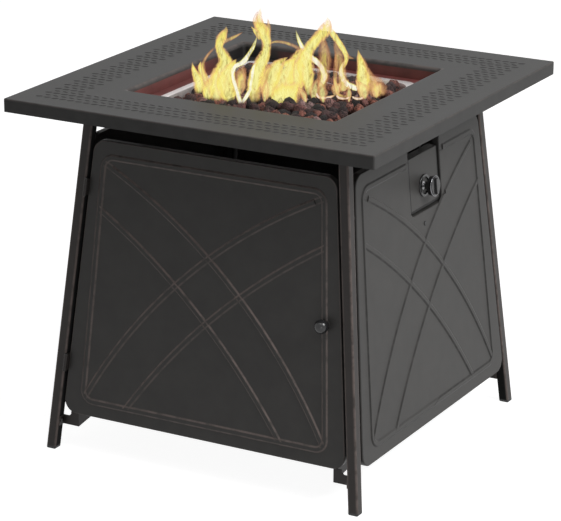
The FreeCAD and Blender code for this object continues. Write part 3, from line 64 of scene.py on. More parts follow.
panel_high = 0.569
panel_corner = 0.024
bead_rise = 0.028
bead_drop = 0.028
bead_inset_low = 0.038
bead_inset_top = 0.024
bead_corner = 0.020
outer_rib_bow = 0.045
outer_rib_top_in = 0.018
outer_rib_top_drop = 0.019
outer_rib_low_in = 0.007
inner_rib_bow = 0.027
inner_rib_drop = 0.094
inner_rib_low_in = 0.089
rib_seat = 0.012
pan_half = 0.166
heap_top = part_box("lava_rocks")[1][2]


# Shader maths ----------------------------------------------------------------------------

class Value:
    """A number that varies over a surface, used in plain arithmetic."""

    def __init__(self, maker, socket):
        self.maker = maker
        self.socket = socket

    def math(self, operation, first, second=0.5):
        node = self.maker.node("ShaderNodeMath", {"operation": operation}, {0: first, 1: second})
        return Value(self.maker, node.outputs[0])

    def __add__(self, other):
        return self.math("ADD", self, other)

    def __sub__(self, other):
        return self.math("SUBTRACT", self, other)

    def __mul__(self, other):
        return self.math("MULTIPLY", self, other)

    def __rsub__(self, other):
        return self.math("SUBTRACT", other, self)

    def __abs__(self):
        return self.math("ABSOLUTE", self)

    __radd__ = __add__
    __rmul__ = __mul__

    def power(self, exponent):
        return self.math("POWER", self, exponent)

    def least(self, other):
        return self.math("MINIMUM", self, other)

    def most(self, other):
        return self.math("MAXIMUM", self, other)

    def within(self, low, high):
        """0 below low, 1 above high and a smooth rise between them."""
        node = self.maker.node("ShaderNodeMapRange", {"interpolation_type": "SMOOTHSTEP"},
                               {"Value": self, "From Min": low, "From Max": high})
        return Value(self.maker, node.outputs["Result"])

    def line(self, place, width):
        """1 where this value is at place, falling to 0 over width on both sides."""
        return 1 - abs(self - place).within(0.0, width)


class NodeMaker:
    """Adds nodes to one node tree."""

    def __init__(self, tree):
        self.tree = tree

    def node(self, kind, settings=None, inputs=None):
        """Any node: its settings are made first, then its sockets get values or links."""
        node = self.tree.nodes.new(kind)
        for label, value in (settings or {}).items():
            if label == "stops":
                self.set_stops(node.color_ramp, value)
            else:
                setattr(node, label, value)
        for label, value in (inputs or {}).items():
            self.feed(node.inputs[label], value)
        return node

    def feed(self, socket, value):
        """A link for what varies, or a constant."""
        if isinstance(value, Value):
            value = value.socket
        if isinstance(value, bpy.types.NodeSocket):
            self.tree.links.new(value, socket)
        else:
            socket.default_value = value

    def set_stops(self, ramp, stops):
        while len(ramp.elements) < len(stops):
            ramp.elements.new(1.0)
        for element, (place, colour) in zip(ramp.elements, stops):
            element.position = place
            element.color = (*colour, 1.0)

    def seen_directly(self):
        """1 for what the camera sees directly, in a reflection or through glass."""
        path = self.node("ShaderNodeLightPath")
        camera, glossy, through = [Value(self, path.outputs[name]) for name in
                                   ("Is Camera Ray", "Is Glossy Ray", "Is Transmission Ray")]
        return camera.most(glossy).most(through)


class Finish(NodeMaker):
    """A material and the nodes that give it its look."""

    def __init__(self, name, **constants):
        self.material = bpy.data.materials.new(name)
        self.material.use_nodes = True
        super().__init__(self.material.node_tree)
        self.shader = self.tree.nodes["Principled BSDF"]
        self.set(**constants)

    def set(self, **inputs):
        """Values or links for the shader's sockets, named as the sockets are."""
        for label, value in inputs.items():
            title = "Specular IOR Level" if label == "specular" else label.replace("_", " ").title()
            self.feed(self.shader.inputs[title], value)

    def place(self):
        """Position on the object at rest, in metres."""
        return self.node("ShaderNodeTexCoord").outputs["Object"]

    def stretched(self, scale):
        """Position with each axis scaled, for marks that run one way."""
        node = self.node("ShaderNodeVectorMath", {"operation": "MULTIPLY"}, {0: self.place(), 1: scale})
        return node.outputs[0]

    def axis(self, letter):
        node = self.node("ShaderNodeSeparateXYZ", {}, {"Vector": self.place()})
        return Value(self, node.outputs[letter])

    def kept(self, name):
        """A number stored on the mesh itself."""
        node = self.node("ShaderNodeAttribute", {"attribute_name": name})
        return Value(self, node.outputs["Fac"])

    def grain(self, size, detail=3.0, rough=0.55, vector=None, warp=0.0):
        """Soft noise from 0 to 1 whose patches are about the given size."""
        node = self.node("ShaderNodeTexNoise", {}, {
            "Vector": self.place() if vector is None else vector, "Scale": 1 / size,
            "Detail": detail, "Roughness": rough, "Distortion": warp})
        return Value(self, node.outputs["Fac"])

    def cells(self, size):
        """Distance to the nearest of many scattered points, 0 at each of them."""
        node = self.node("ShaderNodeTexVoronoi", {}, {"Vector": self.place(), "Scale": 1 / size})
        return Value(self, node.outputs["Distance"])

    def colours(self, value, stops):
        return self.node("ShaderNodeValToRGB", {"stops": stops}, {"Fac": value}).outputs["Color"]

    def blend(self, share, first, second):
        """Colour that goes from first to second."""
        node = self.node("ShaderNodeMix", {"data_type": "RGBA"})
        for index, value in ((0, share), (6, first), (7, second)):
            if isinstance(value, tuple):
                value = (*value, 1.0)
            self.feed(node.inputs[index], value)
        return node.outputs[2]

    def dents(self, height, depth):
        """Surface relief: height from 0 to 1 over a depth."""
        node = self.node("ShaderNodeBump", {}, {"Height": height, "Distance": depth, "Strength": 1.0})
        self.feed(self.shader.inputs["Normal"], node.outputs["Normal"])


def shade(colour, factor):
    """Darker or lighter tone of a colour."""
    return tuple(channel * factor for channel in colour)


def dress(material, *names):
    """One material for the named solids."""
    for name in names:
        slots = nodes[name].material_slots
        for slot in slots:
            slot.material = material
        if not slots:
            nodes[name].data.materials.append(material)


# Painted sheet ---------------------------------------------------------------------------

# Tone of brushed bronze through the coat, also used for painted highlights; near black for painted shade.
bronze_rub_and_highlight = (0.25, 0.20, 0.183)
painted_shade_black = (0.006, 0.006, 0.006)
mottle_size = 0.05
patch_size = 0.018
peel_size = 0.0011
peel_depth = 0.00006


def powder_coat(name, colour, gloss, rub_and_painted_light=None, shine=0.22, rub_and_light_colour=bronze_rub_and_highlight, inner_shade=None):
    """Baked paint with fine orange peel and mottling.

    rub(finish) is the share of the second tone: brushed bronze that shows through the coat, painted
    highlights and painted shade. inward(finish) is 1 where the coat is painted near black as shade.
    """
    finish = Finish(name, specular=shine)
    mottle = finish.grain(mottle_size, detail=4.0)
    base = finish.colours(mottle, [(0.3, shade(colour, 0.86)), (0.7, shade(colour, 1.16))])
    rough = mottle * 0.12 + gloss
    if rub_and_painted_light:
        patches = finish.grain(patch_size, detail=4.0).within(0.30, 0.60) * 0.7 + 0.3
        rub_and_light_share = (rub_and_painted_light(finish) * patches).least(1.0)
        base = finish.blend(rub_and_light_share, base, rub_and_light_colour)
        rough = rough + rub_and_light_share * 0.08
    if inner_shade:
        inner_shading = inner_shade(finish)
        base = finish.blend(inner_shading, base, painted_shade_black)
        rough = rough + inner_shading * 0.55
    finish.set(base_color=base, roughness=rough)
    finish.dents(finish.grain(peel_size, detail=2.0), peel_depth)
    return finish.material


def panel_half(height):
    """Half the width of the door or a panel at a height."""
    return foot_half - leg_lean * height - tube - panel_gap


def frame_distance(across, up, low, high, inset_low, inset_high, corner):
    """Distance outside a rounded frame on a panel that narrows upward, less than 0 inside it."""
    low_half = panel_half(low) - inset_low
    high_half = panel_half(high) - inset_high
    taper = (high_half - low_half) / ((high - low) * slope_length)
    half_width = (up - low * slope_length) * taper + low_half
    middle = (low + high) / 2 * slope_length
    half_height = (high - low) / 2 * slope_length
    side = abs(across) - half_width + corner
    end = abs(up - middle) - (half_height - corner)
    past_side = side.most(0.0)
    past_end = end.most(0.0)
    return (past_side * past_side + past_end * past_end).power(0.5) + side.most(end).least(0.0) - corner


def rib_circles():
    """Centre and radius of the two bowed ribs that start at the upper left, flat on a panel."""
    low = panel_low + bead_rise
    high = panel_high - bead_drop
    low_left = Vector((-(panel_half(low) - bead_inset_low), low * slope_length))
    low_right = Vector((-low_left.x, low_left.y))
    high_left = Vector((-(panel_half(high) - bead_inset_top), high * slope_length))
    side = (low_left - high_left).normalized()
    outer_start = high_left + side * outer_rib_top_drop + Vector((outer_rib_top_in, 0))
    outer_end = low_right + Vector((-outer_rib_low_in, rib_seat))
    inner_start = high_left + side * inner_rib_drop
    inner_end = low_right - Vector((inner_rib_low_in, 0))
    circles = []
    for start, end, bow in ((outer_start, outer_end, outer_rib_bow),
                            (inner_start, inner_end, inner_rib_bow)):
        chord = end - start
        normal = Vector((-chord.y, chord.x)).normalized()
        radius = ((chord.length / 2) ** 2 + bow ** 2) / (2 * bow)
        circles.append(((start + end) / 2 + normal * (bow - radius), radius))
    return circles


# Lines in the paint. A pair of values is where a change begins and where it is complete.
bead_flank = 0.0044
line_width = 0.0027
line_strength = 0.85
edge_place = -0.0006
edge_width = 0.0026
rib_end = (-0.002, 0.001)
outer_skin = (-0.0009, -0.0003)
# Near the panel's middle the painted shade swaps from one bead flank to the other.
shade_flank_swap = 0.02
plate_low_bend = 0.0015
plate_line = (0.0030, 0.0046)
tube_line = (0.0016, 0.0046)
inward_start = 0.005
inward_end = 0.001
lip_width = 0.0045
rim_place = 0.0003
rim_width = 0.0012
rim_drop = 0.001
rim_height = 0.003


class PanelLines:
    """Distances and masks from which the lines on a panel's outside are drawn."""

    def __init__(self, finish, letter, outward, recess):
        self.across = finish.axis(letter)
        up = finish.axis("Z") * slope_length
        self.frame_bead = frame_distance(self.across, up, panel_low + bead_rise, panel_high - bead_drop,
                                         bead_inset_low, bead_inset_top, bead_corner)
        self.inside = 1 - self.frame_bead.within(*rib_end)
        edge = frame_distance(self.across, up, panel_low, panel_high, 0.0, 0.0, panel_corner)
        self.edge = edge.line(edge_place, edge_width)
        self.ribs = []
        for centre, radius in rib_circles():
            for mirror in (1, -1):
                out = self.across - centre.x * mirror
                rise = up - centre.y
                self.ribs.append((mirror, (out * out + rise * rise).power(0.5) - radius))
        face = abs(finish.axis(outward)) + finish.axis("Z") * leg_lean - (foot_half - recess)
        self.outside = face.within(*outer_skin)


def bead_rub_and_highlight(recess):
    """Brushed bronze and painted highlight on the door or rear panel: its edge and its beads, most on
    their upper flanks.
    """
    def rub_and_painted_light(finish):
        panel = PanelLines(finish, "X", "Y", recess)
        lines = abs(panel.frame_bead).line(bead_flank, line_width) * 0.75
        for _, away in panel.ribs:
            flanks = away.line(bead_flank, line_width).most(away.line(-bead_flank, line_width) * 0.5)
            lines = lines.most(flanks * panel.inside)
        return lines.most(panel.edge * 0.4) * panel.outside * line_strength

    return rub_and_painted_light


def bead_painted_shade(finish):
    """Painted shade round a side panel's edge and on the flanks of its beads that face the door."""
    panel = PanelLines(finish, "Y", "X", 0.0)
    turn = panel.across.within(-shade_flank_swap, shade_flank_swap) * 2 - 1
    lines = (panel.frame_bead + turn * bead_flank).line(0.0, line_width)
    for mirror, away in panel.ribs:
        lines = lines.most(away.line(-bead_flank * mirror, line_width) * panel.inside)
    return lines.most(panel.edge * 0.6) * panel.outside * line_strength


def plate_gap_shade(finish):
    """Painted shade: black along the control plate's folded edges, standing for the shaded gap round the
    plate, over 1 so that no patch of the coat breaks it.
    """
    low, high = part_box("control_plate")
    across = finish.axis("Y")
    side = (across - low[1]).least(high[1] - across)
    lower = finish.axis("Z") - low[2] - plate_low_bend
    return (1 - side.least(lower).within(*plate_line)) * 3


def tube_rub_and_highlight(finish):
    """Brushed bronze and painted highlight along the edges of the leaning leg tubes."""
    gaps = []
    for letter in ("X", "Y"):
        out = abs(finish.axis(letter)) + finish.axis("Z") * leg_lean
        gaps.append(abs(out - foot_half).least(abs(out - (foot_half - tube))))
    return (1 - gaps[0].most(gaps[1]).within(*tube_line)) * 0.5


def tube_inner_shade(finish):
    """Painted shade: 1 on the faces of the leg tubes that look into the cabinet, apart from a strip at
    their edge.
    """
    reach = abs(finish.axis("X")) + abs(finish.axis("Y")) + finish.axis("Z") * (2 * leg_lean)
    edge = 2 * foot_half - tube
    return 1 - reach.within(edge - inward_start, edge - inward_end)


def top_rub_and_highlight(finish):
    """Brushed bronze and painted highlight on the lip of the fire opening and on the outer edge of the
    top.
    """
    reach = abs(finish.axis("X")).most(abs(finish.axis("Y")))
    lip = reach.line(well_half + lip_bend * 0.45, lip_width) * 0.35
    level = finish.axis("Z").line(table_height - rim_drop, rim_height)
    return lip.most(reach.line(top_half - rim_place, rim_width) * level * 0.2)


top_colour = (0.054, 0.053, 0.052)
panel_colour = (0.051, 0.049, 0.047)
frame_colour = (0.037, 0.032, 0.030)
# Painted shade: the colour for frame parts deep in the cabinet, darker than the frame they belong to.
inner_shade_colour = (0.020, 0.019, 0.018)
# Dark brown of the painted shade on the side panels' edges and beads.
bead_shade_brown = (0.016, 0.015, 0.014)
# Red painted on the fire opening's walls as the glow of the flames.
flame_glow_red = (0.128, 0.034, 0.030)
soot_black = (0.012, 0.011, 0.011)
top_paint = powder_coat("hammered_top_paint", top_colour, 0.44, top_rub_and_highlight, shine=0.12)
leg_paint = powder_coat("leg_powder_coat", frame_colour, 0.36, tube_rub_and_highlight, inner_shade=tube_inner_shade)
frame_paint = powder_coat("frame_powder_coat", frame_colour, 0.36, tube_rub_and_highlight)
door_paint = powder_coat("door_powder_coat", panel_colour, 0.40, bead_rub_and_highlight(door_recess))
rear_paint = powder_coat("rear_powder_coat", panel_colour, 0.40, bead_rub_and_highlight(0.0))
side_paint = powder_coat("side_powder_coat", panel_colour, 0.40, bead_painted_shade, rub_and_light_colour=bead_shade_brown)
plate_paint = powder_coat("plate_powder_coat", panel_colour, 0.40, plate_gap_shade, rub_and_light_colour=painted_shade_black)
# Rails, hanger and shelf get this darker coat as painted shade.
shaded_inner_paint = powder_coat("shaded_inner_powder_coat", inner_shade_colour, 0.50)

# Soot is thick up to the first distance from the opening's corner and ends at the second.
soot_reach = (0.075, 0.165)
soot_waver = 0.05
waver_size = 0.03
wall_patch_size = 0.035
scale_size = 0.0012
scale_depth = 0.00007


def flame_lit_sooty_paint(name, colour):
    """Paint inside the fire opening, red as painted light of the flames, black with soot at its rear left
    corner.
    """
    finish = Finish(name)
    wall_patches = finish.grain(wall_patch_size, detail=4.0)
    base = finish.colours(wall_patches, [(0.3, shade(colour, 0.72)), (0.7, shade(colour, 1.2))])
    left = finish.axis("X") + well_half
    back = finish.axis("Y") - well_half
    away = (left * left + back * back).power(0.5) + finish.grain(waver_size) * soot_waver
    soot = 1 - away.within(*soot_reach)
    finish.set(base_color=finish.blend(soot, base, soot_black), roughness=wall_patches * 0.2 + 0.36)
    finish.dents(finish.grain(scale_size, detail=2.0), scale_depth)
    return finish.material


# Metal, plastic and ceramic --------------------------------------------------------------

streak_size = 0.004
streak_depth = 0.00002
stain_size = 0.03
wear_size = 0.012
skin_size = 0.0007
skin_depth = 0.00003


def bare_metal(name, colour, rough, stretch=(1, 1, 1)):
    """Sheet or turned metal with faint streaks and stains."""
    finish = Finish(name, metallic=1.0)
    streaks = finish.grain(streak_size, vector=finish.stretched(stretch))
    stain = finish.grain(stain_size)
    finish.set(base_color=finish.colours(stain, [(0.35, shade(colour, 0.82)), (0.65, colour)]),
               roughness=streaks * 0.16 + rough)
    finish.dents(streaks, streak_depth)
    return finish.material


def moulded(name, colour, rough):
    """Plastic, enamel or glazed ceramic with faint wear."""
    finish = Finish(name)
    wear = finish.grain(wear_size)
    finish.set(base_color=finish.colours(wear, [(0.3, shade(colour, 0.8)), (0.7, colour)]),
               roughness=wear * 0.1 + rough)
    finish.dents(finish.grain(skin_size, detail=2.0), skin_depth)
    return finish.material


screw_black = bare_metal("blackened_screws", (0.06, 0.06, 0.06), 0.35)
zinc = bare_metal("zinc_plate", (0.56, 0.56, 0.58), 0.28, (1, 1, 6))
stainless = bare_metal("stainless_sheet", (0.97, 0.93, 0.92), 0.34, (8, 1, 1))
dark_chrome = bare_metal("dark_chrome", (0.20, 0.20, 0.21), 0.12)
brass = bare_metal("turned_brass", (0.72, 0.52, 0.22), 0.24, (1, 1, 8))
copper = bare_metal("bare_copper", (0.62, 0.30, 0.17), 0.32)
casting = bare_metal("cast_alloy", (0.58, 0.58, 0.59), 0.42)
knob_black = moulded("gloss_black_knob", (0.018, 0.018, 0.019), 0.16)
plastic_black = moulded("matt_black_plastic", (0.020, 0.020, 0.020), 0.52)
lead_black = moulded("lead_insulation", (0.018, 0.018, 0.018), 0.45)
ceramic = moulded("white_insulator", (0.80, 0.78, 0.74), 0.22)

dress(top_paint, "table_top")
dress(leg_paint, "leg_front_left", "leg_front_right", "leg_rear_left", "leg_rear_right")
dress(frame_paint, "hinge_leaves_leg", "hinge_leaves_door", "corner_brackets")
dress(door_paint, "door_panel")
dress(rear_paint, "panel_rear")
dress(side_paint, "panel_left", "panel_right")
dress(plate_paint, "control_plate")
dress(shaded_inner_paint, "rail_front", "rail_rear", "rail_left", "rail_right", "control_hanger", "bottom_shelf")
dress(screw_black, "panel_screws", "hanger_screws", "valve_screws", "door_knob_screw", "bracket_screws",
      "shelf_screws", "hinge_rivets_leg", "hinge_rivets_door", "hinge_pins")
dress(zinc, "top_nuts", "well_nuts", "valve_stem", "valve_plunger", "air_mixer", "burner_locknut",
      "door_strike", "tank_screw")
dress(stainless, "burner_pan", "burner", "thermocouple", "sensor_bracket")
dress(dark_chrome, "knob_trim")
dress(brass, "gas_inlet", "injector")
dress(copper, "thermocouple_lead")
dress(casting, "gas_valve", "gas_pipe")
dress(knob_black, "control_knob", "door_knob", "knob_bezel")
dress(plastic_black, "foot_caps", "knob_neck", "panel_spacers", "door_catch")
dress(lead_black, "spark_lead")
dress(ceramic, "spark_electrode")
dress(flame_lit_sooty_paint("flame_glow_sooty_paint", flame_glow_red), "fire_well")


# Pieces that the solids don't have -------------------------------------------------------

def new_piece(name, mesh, material):
    """Object made from a finished bmesh that rides on the table."""
    data = bpy.data.meshes.new(name)
    mesh.to_mesh(data)
    mesh.free()
    data.materials.append(material)
    for face in data.polygons:
        face.use_smooth = True
    piece = bpy.data.objects.new(name, data)
    bpy.context.collection.objects.link(piece)
    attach(piece, "table")
    return piece


def join_rings(mesh, rings):
    """Faces between each ring of points and the next."""
    for low, high in zip(rings, rings[1:]):
        for index in range(len(low)):
            after = (index + 1) % len(low)
            mesh.faces.new((low[index], low[after], high[after], high[index]))


# Embossed band on the top ----------------------------------------------------------------

emboss_inner = 0.256
emboss_outer = 0.318
emboss_pitch = 0.016
emboss_row = 0.01475
emboss_half_long = 0.0074
emboss_half_wide = 0.0040
emboss_rise = 0.0011
emboss_turn = math.radians(24)
emboss_around = 12
# Rings of points on a mark, from its rim just under the sheet: share of its size, and height.
emboss_rings = ((1.0, -0.0001), (0.82, 0.45 * emboss_rise), (0.5, 0.88 * emboss_rise))


def emboss_mark(mesh, middle, turn):
    """One raised mark: a low dome, longer than it is wide."""
    rings = []
    for share, rise in emboss_rings:
        ring = []
        for index in range(emboss_around):
            angle = 2 * math.pi * index / emboss_around
            along = math.cos(angle) * emboss_half_long * share
            aside = math.sin(angle) * emboss_half_wide * share
            point = Vector((along, aside, rise))
            point.rotate(Matrix.Rotation(turn, 3, "Z"))
            ring.append(mesh.verts.new(middle + point))
        rings.append(ring)
    top = mesh.verts.new(middle + Vector((0, 0, emboss_rise)))
    join_rings(mesh, rings)
    for index in range(emboss_around):
        mesh.faces.new((rings[-1][index], rings[-1][(index + 1) % emboss_around], top))


def embossed_band():
    """Rows of marks on a square band, turned one way and the other from row to row."""
    mesh = bmesh.new()
    reach = int(emboss_outer / emboss_pitch) + 1
    rows = int(emboss_outer / emboss_row) + 1
    for row in range(-rows, rows + 1):
        for column in range(-reach, reach + 1):
            x = (column + 0.5 * (row % 2)) * emboss_pitch
            y = row * emboss_row
            out = max(abs(x), abs(y))
            if emboss_inner < out < emboss_outer:
                turn = emboss_turn if row % 2 else -emboss_turn
                emboss_mark(mesh, Vector((x, y, table_height)), turn)
    new_piece("embossed_band", mesh, top_paint)


embossed_band()


# Lava rocks ------------------------------------------------------------------------------

rock_pitch = 0.0195
rock_size = (0.0098, 0.0148)
rock_stretch = ((0.8, 1.2), (0.75, 1.1), (0.65, 0.95))
rock_slip = rock_pitch * 0.33
rock_lift = 0.0035
rock_margin = 0.011
rock_corner = 0.034
rock_seed = 11
tone_middle = 0.42
tone_spread = 0.27
rock_layers = 3
layer_drop = 0.0125
layer_inset = 0.002
heap_skin = 0.0165
heap_fall = 0.006
heap_spare = 0.002
# A full turn in radians, and how far apart in the noise two rocks can lie.
any_turn = 6.3
noise_reach = 90
# Noise that shapes a rock: how fine each wave is, and how deep.
rock_waves = ((1.3, 0.45), (3.1, 0.22))
cinder_black = (0.014, 0.010, 0.010)
pit_shade_black = (0.006, 0.005, 0.005)
cinder_size = 0.009
pit_size = 0.0026
stone_depth = 0.0022


def lava_stone():
    """Rough stone whose pieces run from near black over grey-brown to brick red."""
    finish = Finish("lava_stone", roughness=0.92)
    tone = finish.kept("rock_tone")
    base = finish.colours(tone, [(0.0, (0.012, 0.009, 0.009)), (0.26, (0.045, 0.028, 0.028)),
                                 (0.46, (0.17, 0.075, 0.068)), (0.66, (0.33, 0.120, 0.080)),
                                 (0.82, (0.30, 0.185, 0.175)), (1.0, (0.50, 0.37, 0.35))])
    patches = finish.grain(cinder_size, detail=5.0, rough=0.65)
    # The pits are painted near black as the shade inside them.
    pits = finish.cells(pit_size).within(0.05, 0.50)
    shaded = finish.blend(patches.within(0.30, 0.60), cinder_black, base)
    finish.set(base_color=finish.blend(pits, pit_shade_black, shaded))
    finish.dents(pits * 0.6 + patches, stone_depth)
    return finish.material


def heap_height(x, y):
    """Middle height of the top layer of rocks: a low mound that falls towards the pan's rim."""
    edge = max(abs(x), abs(y)) / pan_half
    return heap_top - heap_skin - heap_fall * edge ** 3


def rock_places(chance):
    """Layer and jittered middle of each rock; the two lower layers only close the gaps."""
    count = int(2 * pan_half / rock_pitch)
    first = -(count - 1) / 2 * rock_pitch
    places = []
    for layer in range(rock_layers):
        for row in range(count):
            for column in range(count):
                x = first + column * rock_pitch + chance.uniform(-rock_slip, rock_slip)
                y = first + row * rock_pitch + chance.uniform(-rock_slip, rock_slip)
                corner = abs(x) + abs(y) < 2 * pan_half - rock_corner
                if corner and max(abs(x), abs(y)) < pan_half - rock_margin - layer_inset * layer:
                    z = heap_height(x, y) - layer_drop * layer + chance.uniform(-rock_lift, rock_lift)
                    places.append((layer, Vector((x, y, z))))
    return places


def rock_point(point, shift, stretch):
    """A ball's point, pushed in or out by noise and stretched."""
    lump = sum(noise.noise(point * fine + shift) * deep for fine, deep in rock_waves)
    return Vector([c * s for c, s in zip(point * (1 + lump), stretch)])


def lava_heap():
    """Every rock is a lumpy ball, turned at random and cut level just over the heap's top."""
    chance = random.Random(rock_seed)
    mesh = bmesh.new()
    tone = mesh.verts.layers.float.new("rock_tone")
    for layer, place in rock_places(chance):
        size = chance.uniform(*rock_size)
        stretch = Vector([chance.uniform(*limits) for limits in rock_stretch])
        angle = chance.uniform(0, any_turn)
        turn = Matrix.Rotation(angle, 3, Vector((chance.gauss(0, 1), chance.gauss(0, 1), 1)))
        shift = Vector([chance.uniform(0, noise_reach) for _ in range(3)])
        share = min(1.0, max(0.0, chance.gauss(tone_middle, tone_spread)))
        ball = bmesh.ops.create_icosphere(mesh, subdivisions=1 if layer else 2, radius=1.0)
        for vertex in ball["verts"]:
            vertex.co = place + turn @ (rock_point(vertex.co, shift, stretch) * size)
            vertex.co.z = min(vertex.co.z, heap_top + heap_spare)
            vertex[tone] = share
    heap = new_piece("lava_heap", mesh, lava_stone())
    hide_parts("lava_rocks")


lava_heap()


# Flames ----------------------------------------------------------------------------------

# Each tongue lies in an upright plane. It has a depth, towards the corner between the door and
# the control plate, and then points from foot to tip: across, height and width, in millimetres,
# with heights over the heap. Widths are multiplied by flame_spread.
millimetre = 0.001
flame_across = Vector((0.874, 0.486, 0))
flame_forward = Vector((flame_across.y, -flame_across.x, 0))
flame_flatness = 0.42
flame_spread = 1.3
flame_steps = 5
flame_around = 14
gas_streak = 0.010
gas_fringe = 0.007
yellow_tongues = (
    (73, (-122, -10, 14), (-121, 6, 26), (-117, 30, 28), (-106, 54, 24), (-109, 70, 18), (-116, 86, 13),
     (-112, 102, 16), (-105, 114, 8), (-104, 122, 0.5)),
    (78, (-96, -9, 12), (-101, 6, 30), (-106, 26, 32), (-101, 44, 20), (-92, 58, 9), (-86, 66, 0.5)),
    (70, (-138, -8, 10), (-134, 8, 22), (-126, 24, 20), (-122, 40, 10), (-124, 50, 0.5)),
    (33, (-146, -5, 26), (-153, 17, 18), (-161, 33, 9), (-164, 49, 0.5)),
    (33, (-138, -5, 21), (-144, 21, 14), (-150, 39, 8), (-149, 50, 0.5)),
    (99, (-52, -5, 14), (-57, 17, 21), (-52, 42, 23), (-43, 66, 21), (-35, 87, 15), (-35, 103, 15),
     (-41, 119, 21), (-47, 132, 17), (-47, 147, 9), (-44, 164, 0.5)),
    (99, (-43, 108, 12), (-53, 119, 7), (-61, 128, 0.5)),
    (65, (-34, -7, 10), (-31, 12, 30), (-26, 32, 32), (-16, 50, 20), (-6, 61, 8), (2, 66, 0.5)),
    (61, (-14, -9, 14), (-9, 10, 38), (-4, 32, 36), (4, 50, 22), (12, 60, 9), (18, 65, 0.5)),
    (57, (6, -6, 12), (11, 10, 32), (14, 30, 32), (21, 50, 20), (31, 64, 9), (37, 73, 0.5)),
    (72, (-24, -11, 8), (-14, -3, 34), (2, 4, 44), (14, 14, 26), (20, 24, 6)),
    (31, (16, -4, 11), (16, 14, 32), (17, 35, 35), (23, 57, 25), (28, 69, 14), (30, 74, 2)),
    (58, (37, -4, 4), (38, 13, 16), (33, 35, 28), (31, 56, 28), (38, 78, 19), (51, 95, 18), (65, 111, 21),
     (70, 124, 14), (70, 136, 0.5)),
    (58, (74, 113, 11), (84, 99, 10), (95, 83, 9), (103, 67, 8), (102, 53, 5), (99, 45, 1)),
    (29, (136, -5, 18), (134, 13, 23), (132, 35, 18), (128, 53, 11), (124, 71, 0.5)))
white_tongues = (
    (113, (-94, 42, 3.1), (-92, 48, 4.7), (-89, 61, 7), (-75, 69, 7.8), (-64, 84, 6.2), (-56, 99, 4.7),
     (-50, 117, 0.5)),
    (-11, (60, -6, 4.7), (64, 4, 8.6), (67, 14, 9.4), (60, 32, 8.6), (48, 43, 9.4), (35, 53, 8.6),
     (26, 68, 7), (20, 82, 4.7), (16, 96, 0.5)),
    (22, (138, -5, 7), (119, 1, 9.4), (103, 10, 8.6), (96, 24, 7.8), (96, 38, 5.5), (105, 54, 2)),
    (113, (-79, -4, 7), (-87, 24, 7), (-93, 48, 6.2), (-94, 62, 2.3)),
    (106, (-77, -5, 5.5), (-64, 15, 6.2), (-60, 36, 5.5), (-57, 57, 5.5), (-52, 66, 1.6)))
pale_tongues = (
    (73, (-112, 93, 7), (-91, 103, 5), (-75, 112, 0.5)),
    (73, (-128, 6, 12), (-140, 27, 9), (-144, 49, 7), (-143, 59, 5), (-133, 75, 4), (-117, 90, 3)),
    (99, (-36, 112, 11), (-31, 126, 8), (-33, 144, 0.5)),
    (101, (-47, 126, 12), (-54, 140, 9), (-50, 157, 0.5)),
    (112, (-79, 20, 8), (-79, 38, 18), (-77, 52, 16), (-74, 64, 5)),
    (99, (-57, -5, 11), (-48, 17, 16), (-40, 40, 16), (-31, 57, 9), (-26, 66, 0.5)),
    (10, (-31, 76, 2), (-19, 80, 4), (-2, 78, 5), (16, 71, 6), (28, 62, 9)),
    (58, (98, 71, 7), (109, 64, 5), (117, 62, 0.7)),
    (77, (108, 0, 3), (95, 1, 5), (86, 8, 6), (84, 36, 7), (84, 65, 5), (84, 82, 1)),
    (24, (62, -4, 10), (64, 24, 20), (66, 52, 22), (64, 78, 14), (60, 98, 2)),
    (36, (96, -4, 12), (97, 20, 16), (93, 46, 16), (88, 72, 12), (80, 98, 2)),
    (29, (152, -4, 24), (147, 14, 21), (139, 35, 12), (134, 58, 2)),
    (56, (160, -5, 22), (158, 6, 30), (154, 19, 25), (147, 31, 7)))
ember_lines = (
    (84, (52, 8, 3), (54, 2, 4), (60, -1, 4.5), (74, 0, 4), (84, 4, 2)),
    (92, (86, 6, 3), (91, 1, 4), (102, 0, 3.5), (112, 4, 2)),
    (96, (112, 5, 2), (120, 1, 4), (130, 2, 4), (135, 9, 2)))
# The small licks between the rocks, in millimetres too.
lick_seed = 5
lick_count = 22
lick_across = (-140, 160)
lick_lean = 14
lick_height = (14, 36)
lick_width = (8, 20)
lick_depth = (10, 92)
lick_foot = -9
lick_tip = 0.5


def flame_gas(name, stops, thickness):
    """Glowing gas: coloured from the rim to the middle, streaked, and thin towards the tip."""
    finish = Finish(name, base_color=(0.0, 0.0, 0.0, 1.0), specular=0.0, roughness=1.0,
                    emission_strength=1.0)
    core = finish.kept("core")
    rise = finish.kept("rise")
    streaks = finish.grain(gas_streak, detail=4.0, rough=0.6, vector=finish.stretched((1, 1, 0.4)),
                           warp=1.6)
    fringe = finish.grain(gas_fringe, rough=0.6, vector=finish.stretched((1, 1, 0.6)), warp=0.8)
    tip = 1 - rise.within(0.74, 1.04)
    cooling = 1 - rise.within(0.50, 1.0)
    foot = rise.within(-0.01, 0.14)
    depth = (core + (fringe - 0.5) * 0.55).within(0.04, 0.42)
    body = depth * (streaks.within(0.30, 0.62) * 0.8 + 0.2)
    warmth = (core * 1.1 + (streaks - 0.5) * 1.5) * (cooling * 0.6 + 0.4)
    finish.set(emission_color=finish.colours(warmth, stops),
               alpha=(body * thickness).least(1.0) * (tip * 0.9 + 0.1) * foot)
    return finish.material


def smooth_course(points):
    """Points on a soft curve through the given ones, each with its width."""
    padded = [points[0]] + list(points) + [points[-1]]
    course = []
    for index in range(len(points) - 1):
        before, here, there, after = [Vector(point) for point in padded[index:index + 4]]
        slope = there - before
        bend = before * 2 - here * 5 + there * 4 - after
        twist = here * 3 - before - there * 3 + after
        for step in range(flame_steps):
            t = step / flame_steps
            course.append((here * 2 + slope * t + bend * t ** 2 + twist * t ** 3) / 2)
    course.append(Vector(points[-1]))
    return course


